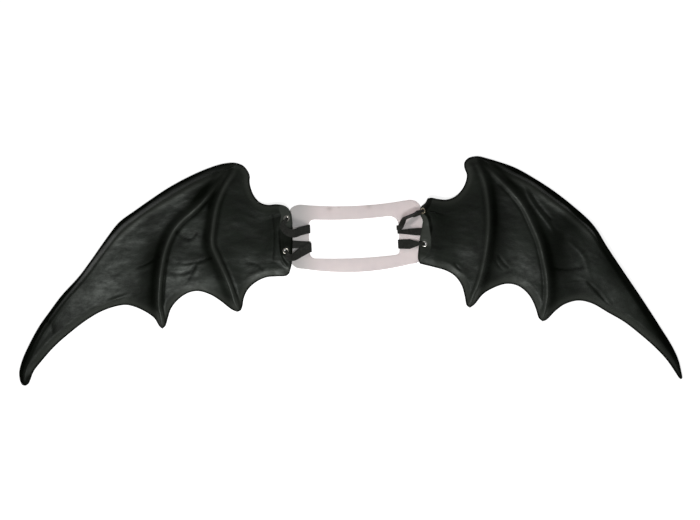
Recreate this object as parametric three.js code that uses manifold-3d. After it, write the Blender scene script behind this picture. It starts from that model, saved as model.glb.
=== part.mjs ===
// Costume bat wings: two moulded foam wings laced with ribbon to a flexible milky plastic back plate.
// Millimetres. +X runs to the right wing, +Y up the wearer's back, +Z off the surface they lie on.
import * as THREE from 'three';
import { mergeVertices } from 'three/addons/utils/BufferGeometryUtils.js';
import Module from 'manifold-3d';

const wasm = await Module();
wasm.setup();

// Clearance between pieces that touch
const GAP = 0.3;

// Ribbon: its woven width and thickness, and how far it lies off the plate
const RIBBON = { width: 15, thick: 0.8, bed: 0.42 };

// Eyelet: a rolled metal ring clinched round the edge of a punched hole
const EYELET = { hole: 5.2, barrel: 0.6, rim: 10, lip: 0.5, sides: 16 };

// Back plate: a flexible sheet with a rounded opening, bowed in outline and arched off the surface
const PLATE = { length: 214, height: 112, thick: 1.8, arch: 3, corner: 21 };
const PLATE_TILT_DEGREES = 2.6;
const PLATE_TOP_BOW = 6;
const PLATE_FOOT_BOW = 9;
const PLATE_STRIPS = 9;
const OUTLINE_STEPS = 8;
const OPENING = { length: 143, height: 61.6, shiftX: -3, shiftY: 2.8, bow: 2.4 };
const OPENING_CORNERS = { upperLeft: 10, upperRight: 17, lowerRight: 8, lowerLeft: 11 };

// Wings: how far each reaches from its root edge to its tip, how far both drop from the thumb to the tip,
// how far each root laps over the plate, and how far its middle sits above or below the plate's
const LEFT_REACH = 437;
const RIGHT_REACH = 422.7;
const WING_DROP = 356.6;
const LEFT_LAP = 5.4;
const RIGHT_LAP = 8.1;
const LEFT_SEAT = -2.9;
const RIGHT_SEAT = 12.7;

// Wing sheet: its wall, and how its moulded relief rises from the rim
const WALL = 3;
const RIM_REACH = 14;
const MEMBRANE = 3;
const ARM = { height: 11.5, inner: 46, outer: 14 };
const FINGER = { height: 6.5, inner: 30, outer: 11 };
const CREST = { height: 2.2, half: 3.6 };
const RIB_SHARPNESS = 1.6;
const ROOT_FADE = 80;

// Each panel swells above its scallop and sinks again towards the thumb, out from the root
const BELLY = { height: 4, reach: 55, fade: 130, fromRoot: 30 };

// The flat tab along each root, and how its upper corner turns up where it has an ear
const FLANGE = { width: 20, slope: 0.25, fade: 24, clear: 0.8 };
const EAR = { slope: 0.85, half: 26 };

// Height of each rib along its length, as a share of its full height
const ARM_TAPER = [
  { along: 0, share: 0.4 },
  { along: 0.1, share: 0.8 },
  { along: 0.38, share: 1 },
  { along: 0.6, share: 0.8 },
  { along: 0.85, share: 0.5 },
  { along: 1, share: 0.25 },
];
const FINGER_TAPER = [
  { along: 0, share: 0.3 },
  { along: 0.15, share: 0.9 },
  { along: 0.48, share: 1 },
  { along: 0.8, share: 0.8 },
  { along: 1, share: 0.35 },
];

// Each wing's outline and ribs. A row is [out, down]: out is a share of the wing's reach, measured
// from the root edge, and down is a share of its drop, measured from the top of the thumb.
// An eyelet's inset from the root edge is a share of its rim.
const WINGS = {
  left: {
    side: -1, reach: LEFT_REACH, drop: WING_DROP, lap: LEFT_LAP, seat: LEFT_SEAT, earDown: null,
    corners: {
      rootTop: [0.014, 0.205], thumbInner: [0.200, 0.003], thumbOuter: [0.229, 0.000], tipTop: [0.997, 0.978],
      tipFoot: [0.959, 0.973], outerClaw: [0.476, 0.745], innerClaw: [0.203, 0.669], rootFoot: [0.011, 0.496],
    },
    rootEdge: [[0.005, 0.228], [0, 0.275], [0, 0.392], [0.002, 0.454]],
    notch: [[0.029, 0.193], [0.057, 0.187], [0.092, 0.189], [0.119, 0.178], [0.140, 0.150], [0.152, 0.116],
      [0.157, 0.084], [0.156, 0.060], [0.166, 0.033], [0.181, 0.013]],
    thumb: [[0.214, 0.000]],
    leading: [[0.260, 0.006], [0.311, 0.026], [0.383, 0.065], [0.456, 0.114], [0.521, 0.167], [0.579, 0.217],
      [0.624, 0.256], [0.643, 0.278], [0.687, 0.350], [0.738, 0.439], [0.781, 0.510], [0.847, 0.599],
      [0.890, 0.670], [0.926, 0.732], [0.962, 0.812], [0.988, 0.883], [1.000, 0.941]],
    tip: [[0.989, 0.996], [0.977, 1.000], [0.966, 0.991]],
    outerScallop: [[0.487, 0.734], [0.506, 0.697], [0.550, 0.661], [0.601, 0.639], [0.637, 0.642],
      [0.695, 0.665], [0.752, 0.705], [0.810, 0.759], [0.868, 0.821], [0.919, 0.891], [0.947, 0.936]],
    middleScallop: [[0.222, 0.659], [0.268, 0.616], [0.304, 0.590], [0.347, 0.576], [0.383, 0.585],
      [0.420, 0.616], [0.445, 0.656], [0.456, 0.697], [0.465, 0.732]],
    innerScallop: [[0.022, 0.507], [0.057, 0.510], [0.094, 0.514], [0.130, 0.533], [0.163, 0.569],
      [0.178, 0.608], [0.183, 0.643], [0.190, 0.663]],
    innerFinger: [[0.218, 0.048], [0.249, 0.109], [0.276, 0.190], [0.291, 0.293], [0.293, 0.369],
      [0.273, 0.430], [0.244, 0.508], [0.218, 0.594]],
    outerFinger: [[0.247, 0.046], [0.290, 0.122], [0.353, 0.205], [0.408, 0.264], [0.438, 0.313],
      [0.460, 0.374], [0.474, 0.445], [0.484, 0.535], [0.488, 0.638]],
    arm: [[0.256, 0.043], [0.357, 0.100], [0.445, 0.163], [0.520, 0.217], [0.574, 0.266], [0.628, 0.324],
      [0.676, 0.392], [0.730, 0.474], [0.811, 0.598], [0.865, 0.681], [0.912, 0.773], [0.947, 0.856],
      [0.974, 0.939]],
    flange: [
      { along: 0, share: 0.7 },
      { along: 0.3, share: 1 },
      { along: 0.6, share: 0.98 },
      { along: 0.8, share: 0.75 },
      { along: 1, share: 0.1 },
    ],
    eyelets: [{ name: 'upper', down: 0.251, inset: 0.88 }, { name: 'lower', down: 0.396, inset: 1.07 }],
  },
  right: {
    side: 1, reach: RIGHT_REACH, drop: WING_DROP, lap: RIGHT_LAP, seat: RIGHT_SEAT, earDown: 0.247,
    corners: {
      rootTop: [0.036, 0.190], thumbInner: [0.207, 0.002], thumbOuter: [0.239, 0.002], tipTop: [0.999, 0.979],
      tipFoot: [0.987, 0.993], outerClaw: [0.472, 0.741], innerClaw: [0.197, 0.680], rootFoot: [0.007, 0.482],
    },
    rootEdge: [[0.028, 0.209], [0.012, 0.226], [0.006, 0.245], [0.008, 0.264], [0.016, 0.284],
      [0.016, 0.310], [0.009, 0.355], [0.002, 0.415], [0, 0.461]],
    notch: [[0.050, 0.187], [0.074, 0.192], [0.107, 0.195], [0.140, 0.181], [0.167, 0.149], [0.182, 0.111],
      [0.185, 0.082], [0.176, 0.053], [0.176, 0.028], [0.190, 0.009]],
    thumb: [[0.224, 0.000]],
    leading: [[0.295, 0.021], [0.367, 0.051], [0.439, 0.098], [0.512, 0.154], [0.584, 0.220], [0.652, 0.292],
      [0.681, 0.336], [0.712, 0.398], [0.780, 0.520], [0.849, 0.641], [0.917, 0.766], [0.962, 0.852],
      [0.986, 0.914]],
    tip: [[1.000, 0.995], [0.995, 1.000]],
    outerScallop: [[0.487, 0.734], [0.519, 0.696], [0.553, 0.666], [0.606, 0.648], [0.659, 0.661],
      [0.720, 0.702], [0.780, 0.743], [0.841, 0.799], [0.894, 0.854], [0.939, 0.910], [0.964, 0.951]],
    middleScallop: [[0.214, 0.666], [0.247, 0.619], [0.288, 0.590], [0.334, 0.573], [0.375, 0.580],
      [0.410, 0.609], [0.432, 0.645], [0.447, 0.687], [0.458, 0.727]],
    innerScallop: [[0.023, 0.487], [0.061, 0.498], [0.107, 0.514], [0.141, 0.539], [0.166, 0.581],
      [0.178, 0.632], [0.185, 0.670]],
    innerFinger: [[0.228, 0.048], [0.251, 0.116], [0.263, 0.199], [0.267, 0.282], [0.263, 0.365],
      [0.254, 0.448], [0.239, 0.533], [0.218, 0.609]],
    outerFinger: [[0.258, 0.044], [0.302, 0.099], [0.358, 0.166], [0.400, 0.232], [0.430, 0.306],
      [0.456, 0.381], [0.474, 0.464], [0.487, 0.555], [0.488, 0.641]],
    arm: [[0.274, 0.037], [0.344, 0.087], [0.428, 0.136], [0.498, 0.199], [0.568, 0.257], [0.623, 0.315],
      [0.673, 0.373], [0.721, 0.456], [0.777, 0.555], [0.827, 0.647], [0.883, 0.747], [0.932, 0.829],
      [0.974, 0.929]],
    flange: [
      { along: 0, share: 0.35 },
      { along: 0.25, share: 0.55 },
      { along: 0.5, share: 0.8 },
      { along: 0.75, share: 0.95 },
      { along: 0.9, share: 0.6 },
      { along: 1, share: 0.1 },
    ],
    eyelets: [{ name: 'upper', down: 0.247, inset: 0.55 }, { name: 'lower', down: 0.3934, inset: 0.85 }],
  },
};

// Where the sheet's mesh has its lines: down each panel, and across the three panels
const ROW_SHARES = [0, 0.025, 0.06, 0.1, 0.16, 0.25, 0.37, 0.51, 0.65, 0.78, 0.88, 0.955, 1];
const ROOT_SHARES = [0, 0.03, 0.07, 0.11, 0.16, 0.22, 0.32, 0.46, 0.62, 0.78, 0.92];
const MIDDLE_SHARES = [0, 0.06, 0.14, 0.26, 0.42, 0.58, 0.74, 0.86, 0.94];
const OUTER_SHARES = [0, 0.02, 0.05, 0.1, 0.16, 0.23, 0.3, 0.37, 0.44, 0.51, 0.58, 0.65, 0.72, 0.79, 0.86,
  0.92, 0.97, 1];
const TIP_EASE_FROM = 0.55;
const TRACE_STEPS = 72;
const FINE_STEPS = 2 * TRACE_STEPS;
const MEET_STEPS = 4 * TRACE_STEPS;
const SLOPE_REACH = 1;
const MERGE_REACH = 1e-4;

// Ribbons. Each loops from its eyelet over the plate's side bar, round the bar's edge in the opening,
// and back below the plate. bar is where it rounds the edge, as a share of half the opening's height
// above its middle. A row of lead places the strand on top between the eyelet and the bar: along is a
// share of the straight way, aside and width are shares of the ribbon's width, and roll is how far it
// stands up on its edge, in degrees. A row on the edge slides along the way to just past the root edge.
// A double ribbon takes a second turn round the bar, at second.
const RIBBONS = [
  {
    wing: 'left', eyelet: 'upper', bar: 0.57, barWidth: 0.83,
    lead: [
      { on: 'flange', along: -0.015, aside: -0.8, width: 0.5, roll: 0 },
      { on: 'flange', along: 0.19, aside: -1.22, width: 0.7, roll: 0 },
      { on: 'edge', along: 0.37, aside: -1.19, width: 0.8, roll: 0 },
      { on: 'plate', along: 0.72, aside: -0.56, width: 0.83, roll: 0 },
    ],
  },
  {
    wing: 'left', eyelet: 'lower', bar: -0.43, barWidth: 0.95,
    second: { bar: -0.27, width: 0.5, endBar: -0.2, endWidth: 0.6 },
    lead: [
      { on: 'flange', along: 0.08, aside: -0.6, width: 0.55, roll: 0 },
      { on: 'edge', along: 0.24, aside: -0.74, width: 0.68, roll: 0 },
      { on: 'plate', along: 0.62, aside: -0.37, width: 0.9, roll: 0 },
    ],
  },
  {
    wing: 'right', eyelet: 'upper', bar: 0.4, barWidth: 0.46,
    second: { bar: 0.18, width: 0.28, endBar: 0.13, endWidth: 0.74 },
    lead: [
      { on: 'plate', along: 0.354, aside: -0.46, width: 0.95, roll: 78 },
      { on: 'plate', along: 0.62, aside: -0.66, width: 0.95, roll: 76 },
      { on: 'plate', along: 0.73, aside: -0.37, width: 0.85, roll: 62 },
      { on: 'plate', along: 0.85, aside: -0.02, width: 0.6, roll: 30 },
      { on: 'plate', along: 0.935, aside: 0.07, width: 0.5, roll: 8 },
    ],
  },
  {
    wing: 'right', eyelet: 'lower', bar: -0.46, barWidth: 0.92,
    lead: [
      { on: 'edge', along: 0.2, aside: 0, width: 0.42, roll: 0 },
      { on: 'plate', along: 0.5, aside: 0, width: 1, roll: 0 },
      { on: 'plate', along: 0.8, aside: 0, width: 0.97, roll: 0 },
    ],
  },
];

// The strand as it comes up past the plate's end and through the eyelet, bunched. Lengths are shares of
// the ribbon's width and thick is a share of its thickness. out and up are measured from the clear way
// up beside the plate's end, lips is which lip of the eyelet the strand has reached, and past and ahead
// are how far it is beyond that lip and off the eyelet's axis.
const RISE_CLEAR = 0.65;
const RISE = [
  { out: -0.21, up: -0.01, width: 0.42, thick: 1.1 },
  { out: -0.045, up: 0.035, width: 0.38, thick: 1.6 },
  { out: 0, up: 0.173, width: 0.28, thick: 2.25 },
];
const THROUGH = [
  { lips: -1, past: -0.04, ahead: 0, width: 0.28, thick: 2.25 },
  { lips: 0, past: 0, ahead: 0, width: 0.28, thick: 2.25 },
  { lips: 1, past: 0.027, ahead: 0.007, width: 0.28, thick: 2.25 },
  { lips: 1, past: 0.12, ahead: 0.113, width: 0.28, thick: 2 },
  { lips: 1, past: 0.107, ahead: 0.307, width: 0.34, thick: 1.5 },
];

// Where the strand's stations lie on its way back, as shares of that way, and its width there
const BACK = { near: 0.35, far: 0.7, width: 0.72, secondWidth: 0.5 };
const SECOND_BACK = { near: 0.35, far: 0.8 };
const SECOND_OVER = { near: 0.25, far: 0.8 };
const EDGE_PAST = 1;
const BEND_STEPS = 4;
const STEPS_PER_STATION = 2;

const COLOURS = {
  foam: new THREE.MeshStandardMaterial({ color: '#23251f', roughness: 0.62, metalness: 0 }),
  plastic: new THREE.MeshStandardMaterial({ color: '#d9d3d3', roughness: 0.35, metalness: 0 }),
  metal: new THREE.MeshStandardMaterial({ color: '#b9b8ae', roughness: 0.28, metalness: 1 }),
  ribbon: new THREE.MeshStandardMaterial({ color: '#1b1c1c', roughness: 0.75, metalness: 0 }),
};

// Layers of ribbon below the plate, and the heights that follow from them
const LAYER = RIBBON.thick + GAP;
const PLATE_BOTTOM = GAP + RIBBON.bed + 2 * LAYER;
const ROOT_LIFT = PLATE_BOTTOM + PLATE.thick + RIBBON.bed + LAYER + GAP;

const mix = (a, b, t) => a + (b - a) * t;
const clamp01 = (t) => Math.min(1, Math.max(0, t));
const smooth = (t) => clamp01(t) ** 2 * (3 - 2 * clamp01(t));
const rounded = (t) => (clamp01(t) * (3 - clamp01(t) ** 2)) / 2;

// Reads a column of a table at a share along it
function readTable(rows, along, column) {
  const next = rows.findIndex((row) => row.along >= along);
  if (next <= 0) return rows[Math.max(next, 0)][column];
  const [a, b] = [rows[next - 1], rows[next]];
  return mix(a[column], b[column], smooth((along - a.along) / (b.along - a.along)));
}

// A smooth curve from one named corner through a table's rows to another, in the wing's own millimetres
function curveBetween(wing, from, rows, to) {
  const shares = [wing.corners[from], ...rows, wing.corners[to]].filter(Boolean);
  const points = shares.map(([out, down]) => new THREE.Vector3(out * wing.reach, down * wing.drop, 0));
  return new THREE.CatmullRomCurve3(points, false, 'centripetal');
}

function wingCurves(wing) {
  return {
    rootEdge: curveBetween(wing, 'rootTop', wing.rootEdge, 'rootFoot'),
    notch: curveBetween(wing, 'rootTop', wing.notch, 'thumbInner'),
    thumb: curveBetween(wing, 'thumbInner', wing.thumb, 'thumbOuter'),
    leading: curveBetween(wing, 'thumbOuter', wing.leading, 'tipTop'),
    tip: curveBetween(wing, 'tipTop', wing.tip, 'tipFoot'),
    outerScallop: curveBetween(wing, 'outerClaw', wing.outerScallop, 'tipFoot'),
    middleScallop: curveBetween(wing, 'innerClaw', wing.middleScallop, 'outerClaw'),
    innerScallop: curveBetween(wing, 'rootFoot', wing.innerScallop, 'innerClaw'),
    innerFinger: curveBetween(wing, 'thumbInner', wing.innerFinger, 'innerClaw'),
    outerFinger: curveBetween(wing, 'thumbOuter', wing.outerFinger, 'outerClaw'),
    arm: curveBetween(wing, null, wing.arm, null),
  };
}

// Distance from a point to a traced curve, the share along it, and whether it lies on the outer side
function nearest(trace, x, y) {
  let best = { distance: Infinity, along: 0, outer: false };
  for (let i = 1; i < trace.length; i += 1) {
    const [a, b] = [trace[i - 1], trace[i]];
    const [dx, dy] = [b.x - a.x, b.y - a.y];
    const t = clamp01(((x - a.x) * dx + (y - a.y) * dy) / (dx * dx + dy * dy || 1));
    const [ox, oy] = [x - a.x - t * dx, y - a.y - t * dy];
    const distance = Math.hypot(ox, oy);
    if (distance < best.distance) {
      best = { distance, along: (i - 1 + t) / (trace.length - 1), outer: dx * oy - dy * ox < 0 };
    }
  }
  return best;
}

// A rib falls away gently on the side of the root and steeply on the outer side
function ribHeight(rib, taper, trace, x, y) {
  const { distance, along, outer } = nearest(trace, x, y);
  const shoulder = rib.height * Math.exp(-((distance / (outer ? rib.outer : rib.inner)) ** RIB_SHARPNESS));
  const crest = CREST.height * Math.exp(-((distance / CREST.half) ** 2));
  return readTable(taper, along, 'share') * (shoulder + crest);
}

// The height of the sheet's underside as a function of place, for one wing
function sheetShape(wing) {
  const curves = wingCurves(wing);
  const trace = (name) => curves[name].getSpacedPoints(TRACE_STEPS);
  const scallops = ['outerScallop', 'middleScallop', 'innerScallop'].map(trace);
  const rims = [...['notch', 'thumb', 'leading', 'tip'].map(trace), ...scallops];
  const [root, arm, innerFinger, outerFinger] = ['rootEdge', 'arm', 'innerFinger', 'outerFinger'].map(trace);
  const underside = (x, y) => {
    const toRim = Math.min(...rims.map((rim) => nearest(rim, x, y).distance));
    const fromRoot = nearest(root, x, y);
    const ribs = [
      ribHeight(ARM, ARM_TAPER, arm, x, y),
      ribHeight(FINGER, FINGER_TAPER, innerFinger, x, y),
      ribHeight(FINGER, FINGER_TAPER, outerFinger, x, y),
    ];
    const body = MEMBRANE + Math.cbrt(ribs.reduce((sum, rib) => sum + rib ** 3, 0));
    const fromEar = wing.earDown === null ? Infinity : Math.abs(y / wing.drop - wing.earDown) * wing.drop;
    const slope = mix(EAR.slope, FLANGE.slope, smooth(fromEar / EAR.half));
    const width = FLANGE.width * readTable(wing.flange, fromRoot.along, 'share');
    const flange = slope * Math.min(fromRoot.distance, width);
    const fromFoot = Math.min(...scallops.map((scallop) => nearest(scallop, x, y).distance));
    const swell = smooth(fromFoot / BELLY.reach) * (1 - smooth((fromFoot - BELLY.reach) / BELLY.fade));
    const belly = BELLY.height * swell * smooth((fromRoot.distance - BELLY.fromRoot) / ROOT_FADE);
    const relief = mix(flange, body, smooth((fromRoot.distance - width) / FLANGE.fade)) + belly;
    const lift = ROOT_LIFT * (1 - smooth(fromRoot.distance / ROOT_FADE));
    return lift + relief * rounded(toRim / RIM_REACH);
  };
  return { curves, underside };
}

// Turns a place on a wing, in its own millimetres, into the part's X and Y
function wingPlace(wing, x, y) {
  const rootMiddle = (wing.corners.rootTop[1] + wing.corners.rootFoot[1]) / 2;
  return {
    x: wing.side * (PLATE.length / 2 - wing.lap + x),
    y: wing.seat + rootMiddle * wing.drop - y,
  };
}

// The other way: from the part's X and Y to a place on a wing
function wingLocal(wing, place) {
  const origin = wingPlace(wing, 0, 0);
  return { x: wing.side * (place.x - origin.x), y: origin.y - place.y };
}

// A place in a four-sided panel between its top, foot, inner and outer curves. The sides' own bends
// fade from them as a power of the share across.
function panelPlace({ top, foot, inner, outer, fade }, s, t) {
  const [a, b] = [top.getPointAt(s), foot.getPointAt(s)];
  const bend = (side, end) => side.getPointAt(t).sub(top.getPointAt(end).lerp(foot.getPointAt(end), t));
  return a.lerp(b, t)
    .addScaledVector(bend(inner, 0), (1 - s) ** fade)
    .addScaledVector(bend(outer, 1), s ** fade);
}

// A column of the panel between the two fingers: it keeps its share between them down to the scallop
function fingerColumn({ top, foot, inner, outer }, s) {
  const between = (t) => inner.getPointAt(t).lerp(outer.getPointAt(t), s);
  const [topTrace, footTrace] = [top, foot].map((curve) => curve.getSpacedPoints(FINE_STEPS));
  const meets = (trace) => {
    const far = (t) => nearest(trace, between(t).x, between(t).y).distance;
    const tries = Array.from({ length: MEET_STEPS + 1 }, (_, i) => i / MEET_STEPS);
    const t = tries.reduce((best, share) => (far(share) < far(best) ? share : best));
    const there = between(t);
    const place = trace.reduce((near, p) => (p.distanceTo(there) < near.distanceTo(there) ? p : near));
    return { t, place };
  };
  const [start, end] = [meets(topTrace), meets(footTrace)];
  return ROW_SHARES.map((share) => {
    if (share === 0) return s === 0 || s === 1 ? top.getPointAt(s) : start.place;
    if (share === 1) return s === 0 || s === 1 ? foot.getPointAt(s) : end.place;
    return between(mix(start.t, end.t, share));
  });
}

// The grid of places over the whole wing: columns from root to tip, each with its rows
function wingGrid({ notch, thumb, leading, tip, rootEdge, innerFinger, outerFinger, ...foot }) {
  const rootPanel = { top: notch, foot: foot.innerScallop, inner: rootEdge, outer: innerFinger, fade: 1 };
  const middlePanel = { top: thumb, foot: foot.middleScallop, inner: innerFinger, outer: outerFinger };
  const outerPanel = { top: leading, foot: foot.outerScallop, inner: outerFinger, outer: tip, fade: 3 };
  return [
    ...ROOT_SHARES.map((s) => ROW_SHARES.map((share) => panelPlace(rootPanel, s, share))),
    ...MIDDLE_SHARES.map((s) => fingerColumn(middlePanel, s)),
    ...OUTER_SHARES.map((s) => {
      const ease = smooth((s - TIP_EASE_FROM) / (1 - TIP_EASE_FROM));
      const even = (row) => row / (ROW_SHARES.length - 1);
      return ROW_SHARES.map((share, row) => panelPlace(outerPanel, s, mix(share, even(row), ease)));
    }),
  ];
}

// A closed shell from a grid of top points and the matching grid of under points
function shellGeometry(upper, under) {
  const [columns, rows] = [upper.length, upper[0].length];
  const positions = [...upper.flat(), ...under.flat()].flatMap(({ x, y, z }) => [x, y, z]);
  const at = (column, row) => column * rows + row;
  const below = (index) => index + columns * rows;
  const index = [];
  const quad = (a, b, c, d) => index.push(a, b, c, a, c, d);
  for (let c = 0; c + 1 < columns; c += 1) {
    for (let r = 0; r + 1 < rows; r += 1) {
      const corners = [at(c, r), at(c, r + 1), at(c + 1, r + 1), at(c + 1, r)];
      quad(...corners);
      quad(...corners.map(below).reverse());
    }
    quad(at(c, 0), at(c + 1, 0), below(at(c + 1, 0)), below(at(c, 0)));
    quad(at(c + 1, rows - 1), at(c, rows - 1), below(at(c, rows - 1)), below(at(c + 1, rows - 1)));
  }
  for (let r = 0; r + 1 < rows; r += 1) {
    quad(at(0, r + 1), at(0, r), below(at(0, r)), below(at(0, r + 1)));
    const last = columns - 1;
    quad(at(last, r), at(last, r + 1), below(at(last, r + 1)), below(at(last, r)));
  }
  const geometry = new THREE.BufferGeometry();
  geometry.setAttribute('position', new THREE.Float32BufferAttribute(positions, 3));
  geometry.setIndex(index);
  return geometry;
}

// Turns faces the other way, for a shape that was mirrored
function turnFaces(geometry) {
  const index = Array.from(geometry.index.array);
  for (let i = 0; i < index.length; i += 3) [index[i], index[i + 1]] = [index[i + 1], index[i]];
  geometry.setIndex(index);
  return geometry;
}

function toSolid(geometry) {
  const plain = geometry.clone();
  plain.deleteAttribute('normal');
  plain.deleteAttribute('uv');
  const merged = mergeVertices(plain, MERGE_REACH);
  const mesh = new wasm.Mesh({
    numProp: 3,
    vertProperties: new Float32Array(merged.attributes.position.array),
    triVerts: new Uint32Array(merged.index.array),
  });
  return new wasm.Manifold(mesh);
}

function toGeometry(solid) {
  const mesh = solid.getMesh();
  const geometry = new THREE.BufferGeometry();
  geometry.setAttribute('position', new THREE.BufferAttribute(new Float32Array(mesh.vertProperties), 3));
  geometry.setIndex(new THREE.BufferAttribute(new Uint32Array(mesh.triVerts), 1));
  geometry.computeVertexNormals();
  return geometry;
}

function namedMesh(name, geometry, material) {
  const mesh = new THREE.Mesh(geometry, material);
  mesh.name = name;
  return mesh;
}

// The direction that the sheet faces at a place on a wing, taken over a reach either side
function sheetNormal(wing, shape, { x, y }, reach) {
  const rise = (dx, dy) => shape.underside(x + dx, y + dy) - shape.underside(x - dx, y - dy);
  const fall = (dx, dy) => rise(dx, dy) / (2 * reach);
  return new THREE.Vector3(-wing.side * fall(reach, 0), fall(0, reach), 1).normalize();
}

// How far out the root edge lies at a height down the wing
function rootEdgeAt(shape, y) {
  return shape.curves.rootEdge.getSpacedPoints(TRACE_STEPS)
    .reduce((near, point) => (Math.abs(point.y - y) < Math.abs(near.y - y) ? point : near)).x;
}

// The middle of the sheet's wall where an eyelet sits, and the direction of the eyelet's axis
function eyeletSeat(wing, shape, { down, inset }) {
  const y = down * wing.drop;
  const x = rootEdgeAt(shape, y) + inset * EYELET.rim;
  const place = wingPlace(wing, x, y);
  return {
    centre: new THREE.Vector3(place.x, place.y, shape.underside(x, y) + WALL / 2),
    axis: sheetNormal(wing, shape, { x, y }, EYELET.rim / 2),
  };
}

// How far each of an eyelet's lips sits from the middle of the wall that it grips
const gripHalf = (axis) => (WALL * axis.z) / 2 - EYELET.lip;

// A solid of revolution about a seat's axis, from rows of [radius, height]
function turned(seat, profile) {
  const points = profile.map(([radius, height]) => new THREE.Vector2(radius, height));
  const geometry = new THREE.LatheGeometry(points, EYELET.sides);
  const turn = new THREE.Quaternion().setFromUnitVectors(new THREE.Vector3(0, 1, 0), seat.axis);
  return geometry.applyQuaternion(turn).translate(seat.centre.x, seat.centre.y, seat.centre.z);
}

function eyeletRing(seat) {
  const grip = gripHalf(seat.axis) + GAP;
  const [bore, barrel, rim] = [EYELET.hole / 2, EYELET.hole / 2 + EYELET.barrel, EYELET.rim / 2];
  const crown = grip + EYELET.lip;
  const bevel = EYELET.lip / 2;
  const section = [
    [bore, -grip], [bore + bevel, -crown], [rim - bevel, -crown], [rim, -grip], [barrel, -grip],
    [barrel, grip], [rim, grip], [rim - bevel, crown], [bore + bevel, crown], [bore, grip], [bore, -grip],
  ];
  return turned(seat, section);
}

// What an eyelet takes out of the sheet: its hole, and the two shallow beds of its lips
function eyeletCut(seat) {
  const [hole, bed] = [EYELET.hole / 2 + EYELET.barrel + GAP, EYELET.rim / 2 + GAP];
  const grip = gripHalf(seat.axis);
  const past = 2 * WALL;
  const section = [
    [0, -past], [bed, -past], [bed, -grip], [hole, -grip], [hole, grip], [bed, grip], [bed, past], [0, past],
  ];
  return turned(seat, section);
}

function wingSheet(wing, shape, seats) {
  const grid = wingGrid(shape.curves);
  const raise = (wall) => grid.map((column) => column.map(({ x, y }) => ({
    ...wingPlace(wing, x, y), z: shape.underside(x, y) + wall,
  })));
  const shell = shellGeometry(raise(WALL), raise(0));
  const sheet = toSolid(wing.side < 0 ? turnFaces(shell) : shell);
  return toGeometry(seats.reduce((solid, seat) => solid.subtract(toSolid(eyeletCut(seat))), sheet));
}

// The plate's rise off the surface at a distance from its middle
const plateRise = (x) => PLATE.arch * (1 - ((2 * x) / PLATE.length) ** 2);

// A rounded rectangle whose top and foot bow downwards in the middle, drawn anticlockwise
function roundedOutline(target, { length, height, topBow, footBow, corners, x = 0, y = 0 }) {
  const [left, right, top, foot] = [x - length / 2, x + length / 2, y + height / 2, y - height / 2];
  const { upperLeft, upperRight, lowerRight, lowerLeft } = corners;
  target.moveTo(left, top - upperLeft);
  target.lineTo(left, foot + lowerLeft);
  target.quadraticCurveTo(left, foot, left + lowerLeft, foot);
  target.quadraticCurveTo(x, foot - 2 * footBow, right - lowerRight, foot);
  target.quadraticCurveTo(right, foot, right, foot + lowerRight);
  target.lineTo(right, top - upperRight);
  target.quadraticCurveTo(right, top, right - upperRight, top);
  target.quadraticCurveTo(x, top - 2 * topBow, left + upperLeft, top);
  target.quadraticCurveTo(left, top, left, top - upperLeft);
  return target;
}

function backPlate() {
  const { length, height, corner, thick } = PLATE;
  const even = { upperLeft: corner, upperRight: corner, lowerRight: corner, lowerLeft: corner };
  const outline = roundedOutline(new THREE.Shape(), {
    length, height: height - PLATE_FOOT_BOW, topBow: PLATE_TOP_BOW, footBow: PLATE_FOOT_BOW, corners: even,
    y: PLATE_FOOT_BOW / 2 + PLATE_TOP_BOW / 2,
  });
  outline.holes.push(roundedOutline(new THREE.Path(), {
    length: OPENING.length, height: OPENING.height, topBow: OPENING.bow, footBow: OPENING.bow,
    corners: OPENING_CORNERS, x: OPENING.shiftX, y: OPENING.shiftY,
  }));
  const deep = PLATE_BOTTOM + PLATE.arch + thick;
  const prism = new THREE.ExtrudeGeometry(outline, {
    depth: 3 * deep, bevelEnabled: false, curveSegments: OUTLINE_STEPS,
  });
  prism.translate(0, 0, -deep);
  const half = length / 2 + corner;
  const strip = (2 * half) / PLATE_STRIPS;
  const grid = Array.from({ length: PLATE_STRIPS + 1 }, (_, i) => [half - i * strip, height, -height])
    .map(([x, ...ys]) => ys.map((y) => ({ x, y: -y, z: PLATE_BOTTOM + plateRise(x) })));
  const raised = grid.map((column) => column.map((point) => ({ ...point, z: point.z + thick })));
  const plate = toSolid(shellGeometry(raised, grid)).intersect(toSolid(prism));
  return toGeometry(plate).rotateZ(THREE.MathUtils.degToRad(PLATE_TILT_DEGREES));
}

// A place on the plate, given in its own untilted X and Y, turned into the part's
function platePlace(x, y) {
  const up = new THREE.Vector3(0, 0, 1);
  return new THREE.Vector3(x, y, 0).applyAxisAngle(up, THREE.MathUtils.degToRad(PLATE_TILT_DEGREES));
}

// The heights of a ribbon's middle above and below the plate, in its inner layer 0 or outer layer 1
const offBar = (layer) => RIBBON.bed + RIBBON.thick / 2 + layer * LAYER;
const aboveBar = (x, layer) => PLATE_BOTTOM + plateRise(x) + PLATE.thick + offBar(layer);
const belowBar = (x, layer) => PLATE_BOTTOM + plateRise(x) - offBar(layer);

// How far a rounded corner of the opening reaches in past its straight end, at a height from its middle
function cornerReach(side, y, halfWidth) {
  const level = y > 0 ? 'upper' : 'lower';
  const radius = OPENING_CORNERS[`${level}${side < 0 ? 'Left' : 'Right'}`];
  const past = Math.min(radius, Math.max(0, Math.abs(y) + halfWidth - (OPENING.height / 2 - radius)));
  return radius - Math.sqrt(radius ** 2 - past ** 2);
}

// One station of a ribbon: its middle, the way its width lies, and its section
const station = (place, z, across, width, thick = RIBBON.thick) => (
  { place: new THREE.Vector3(place.x, place.y, z), across: across.clone(), width, thick }
);

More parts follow.
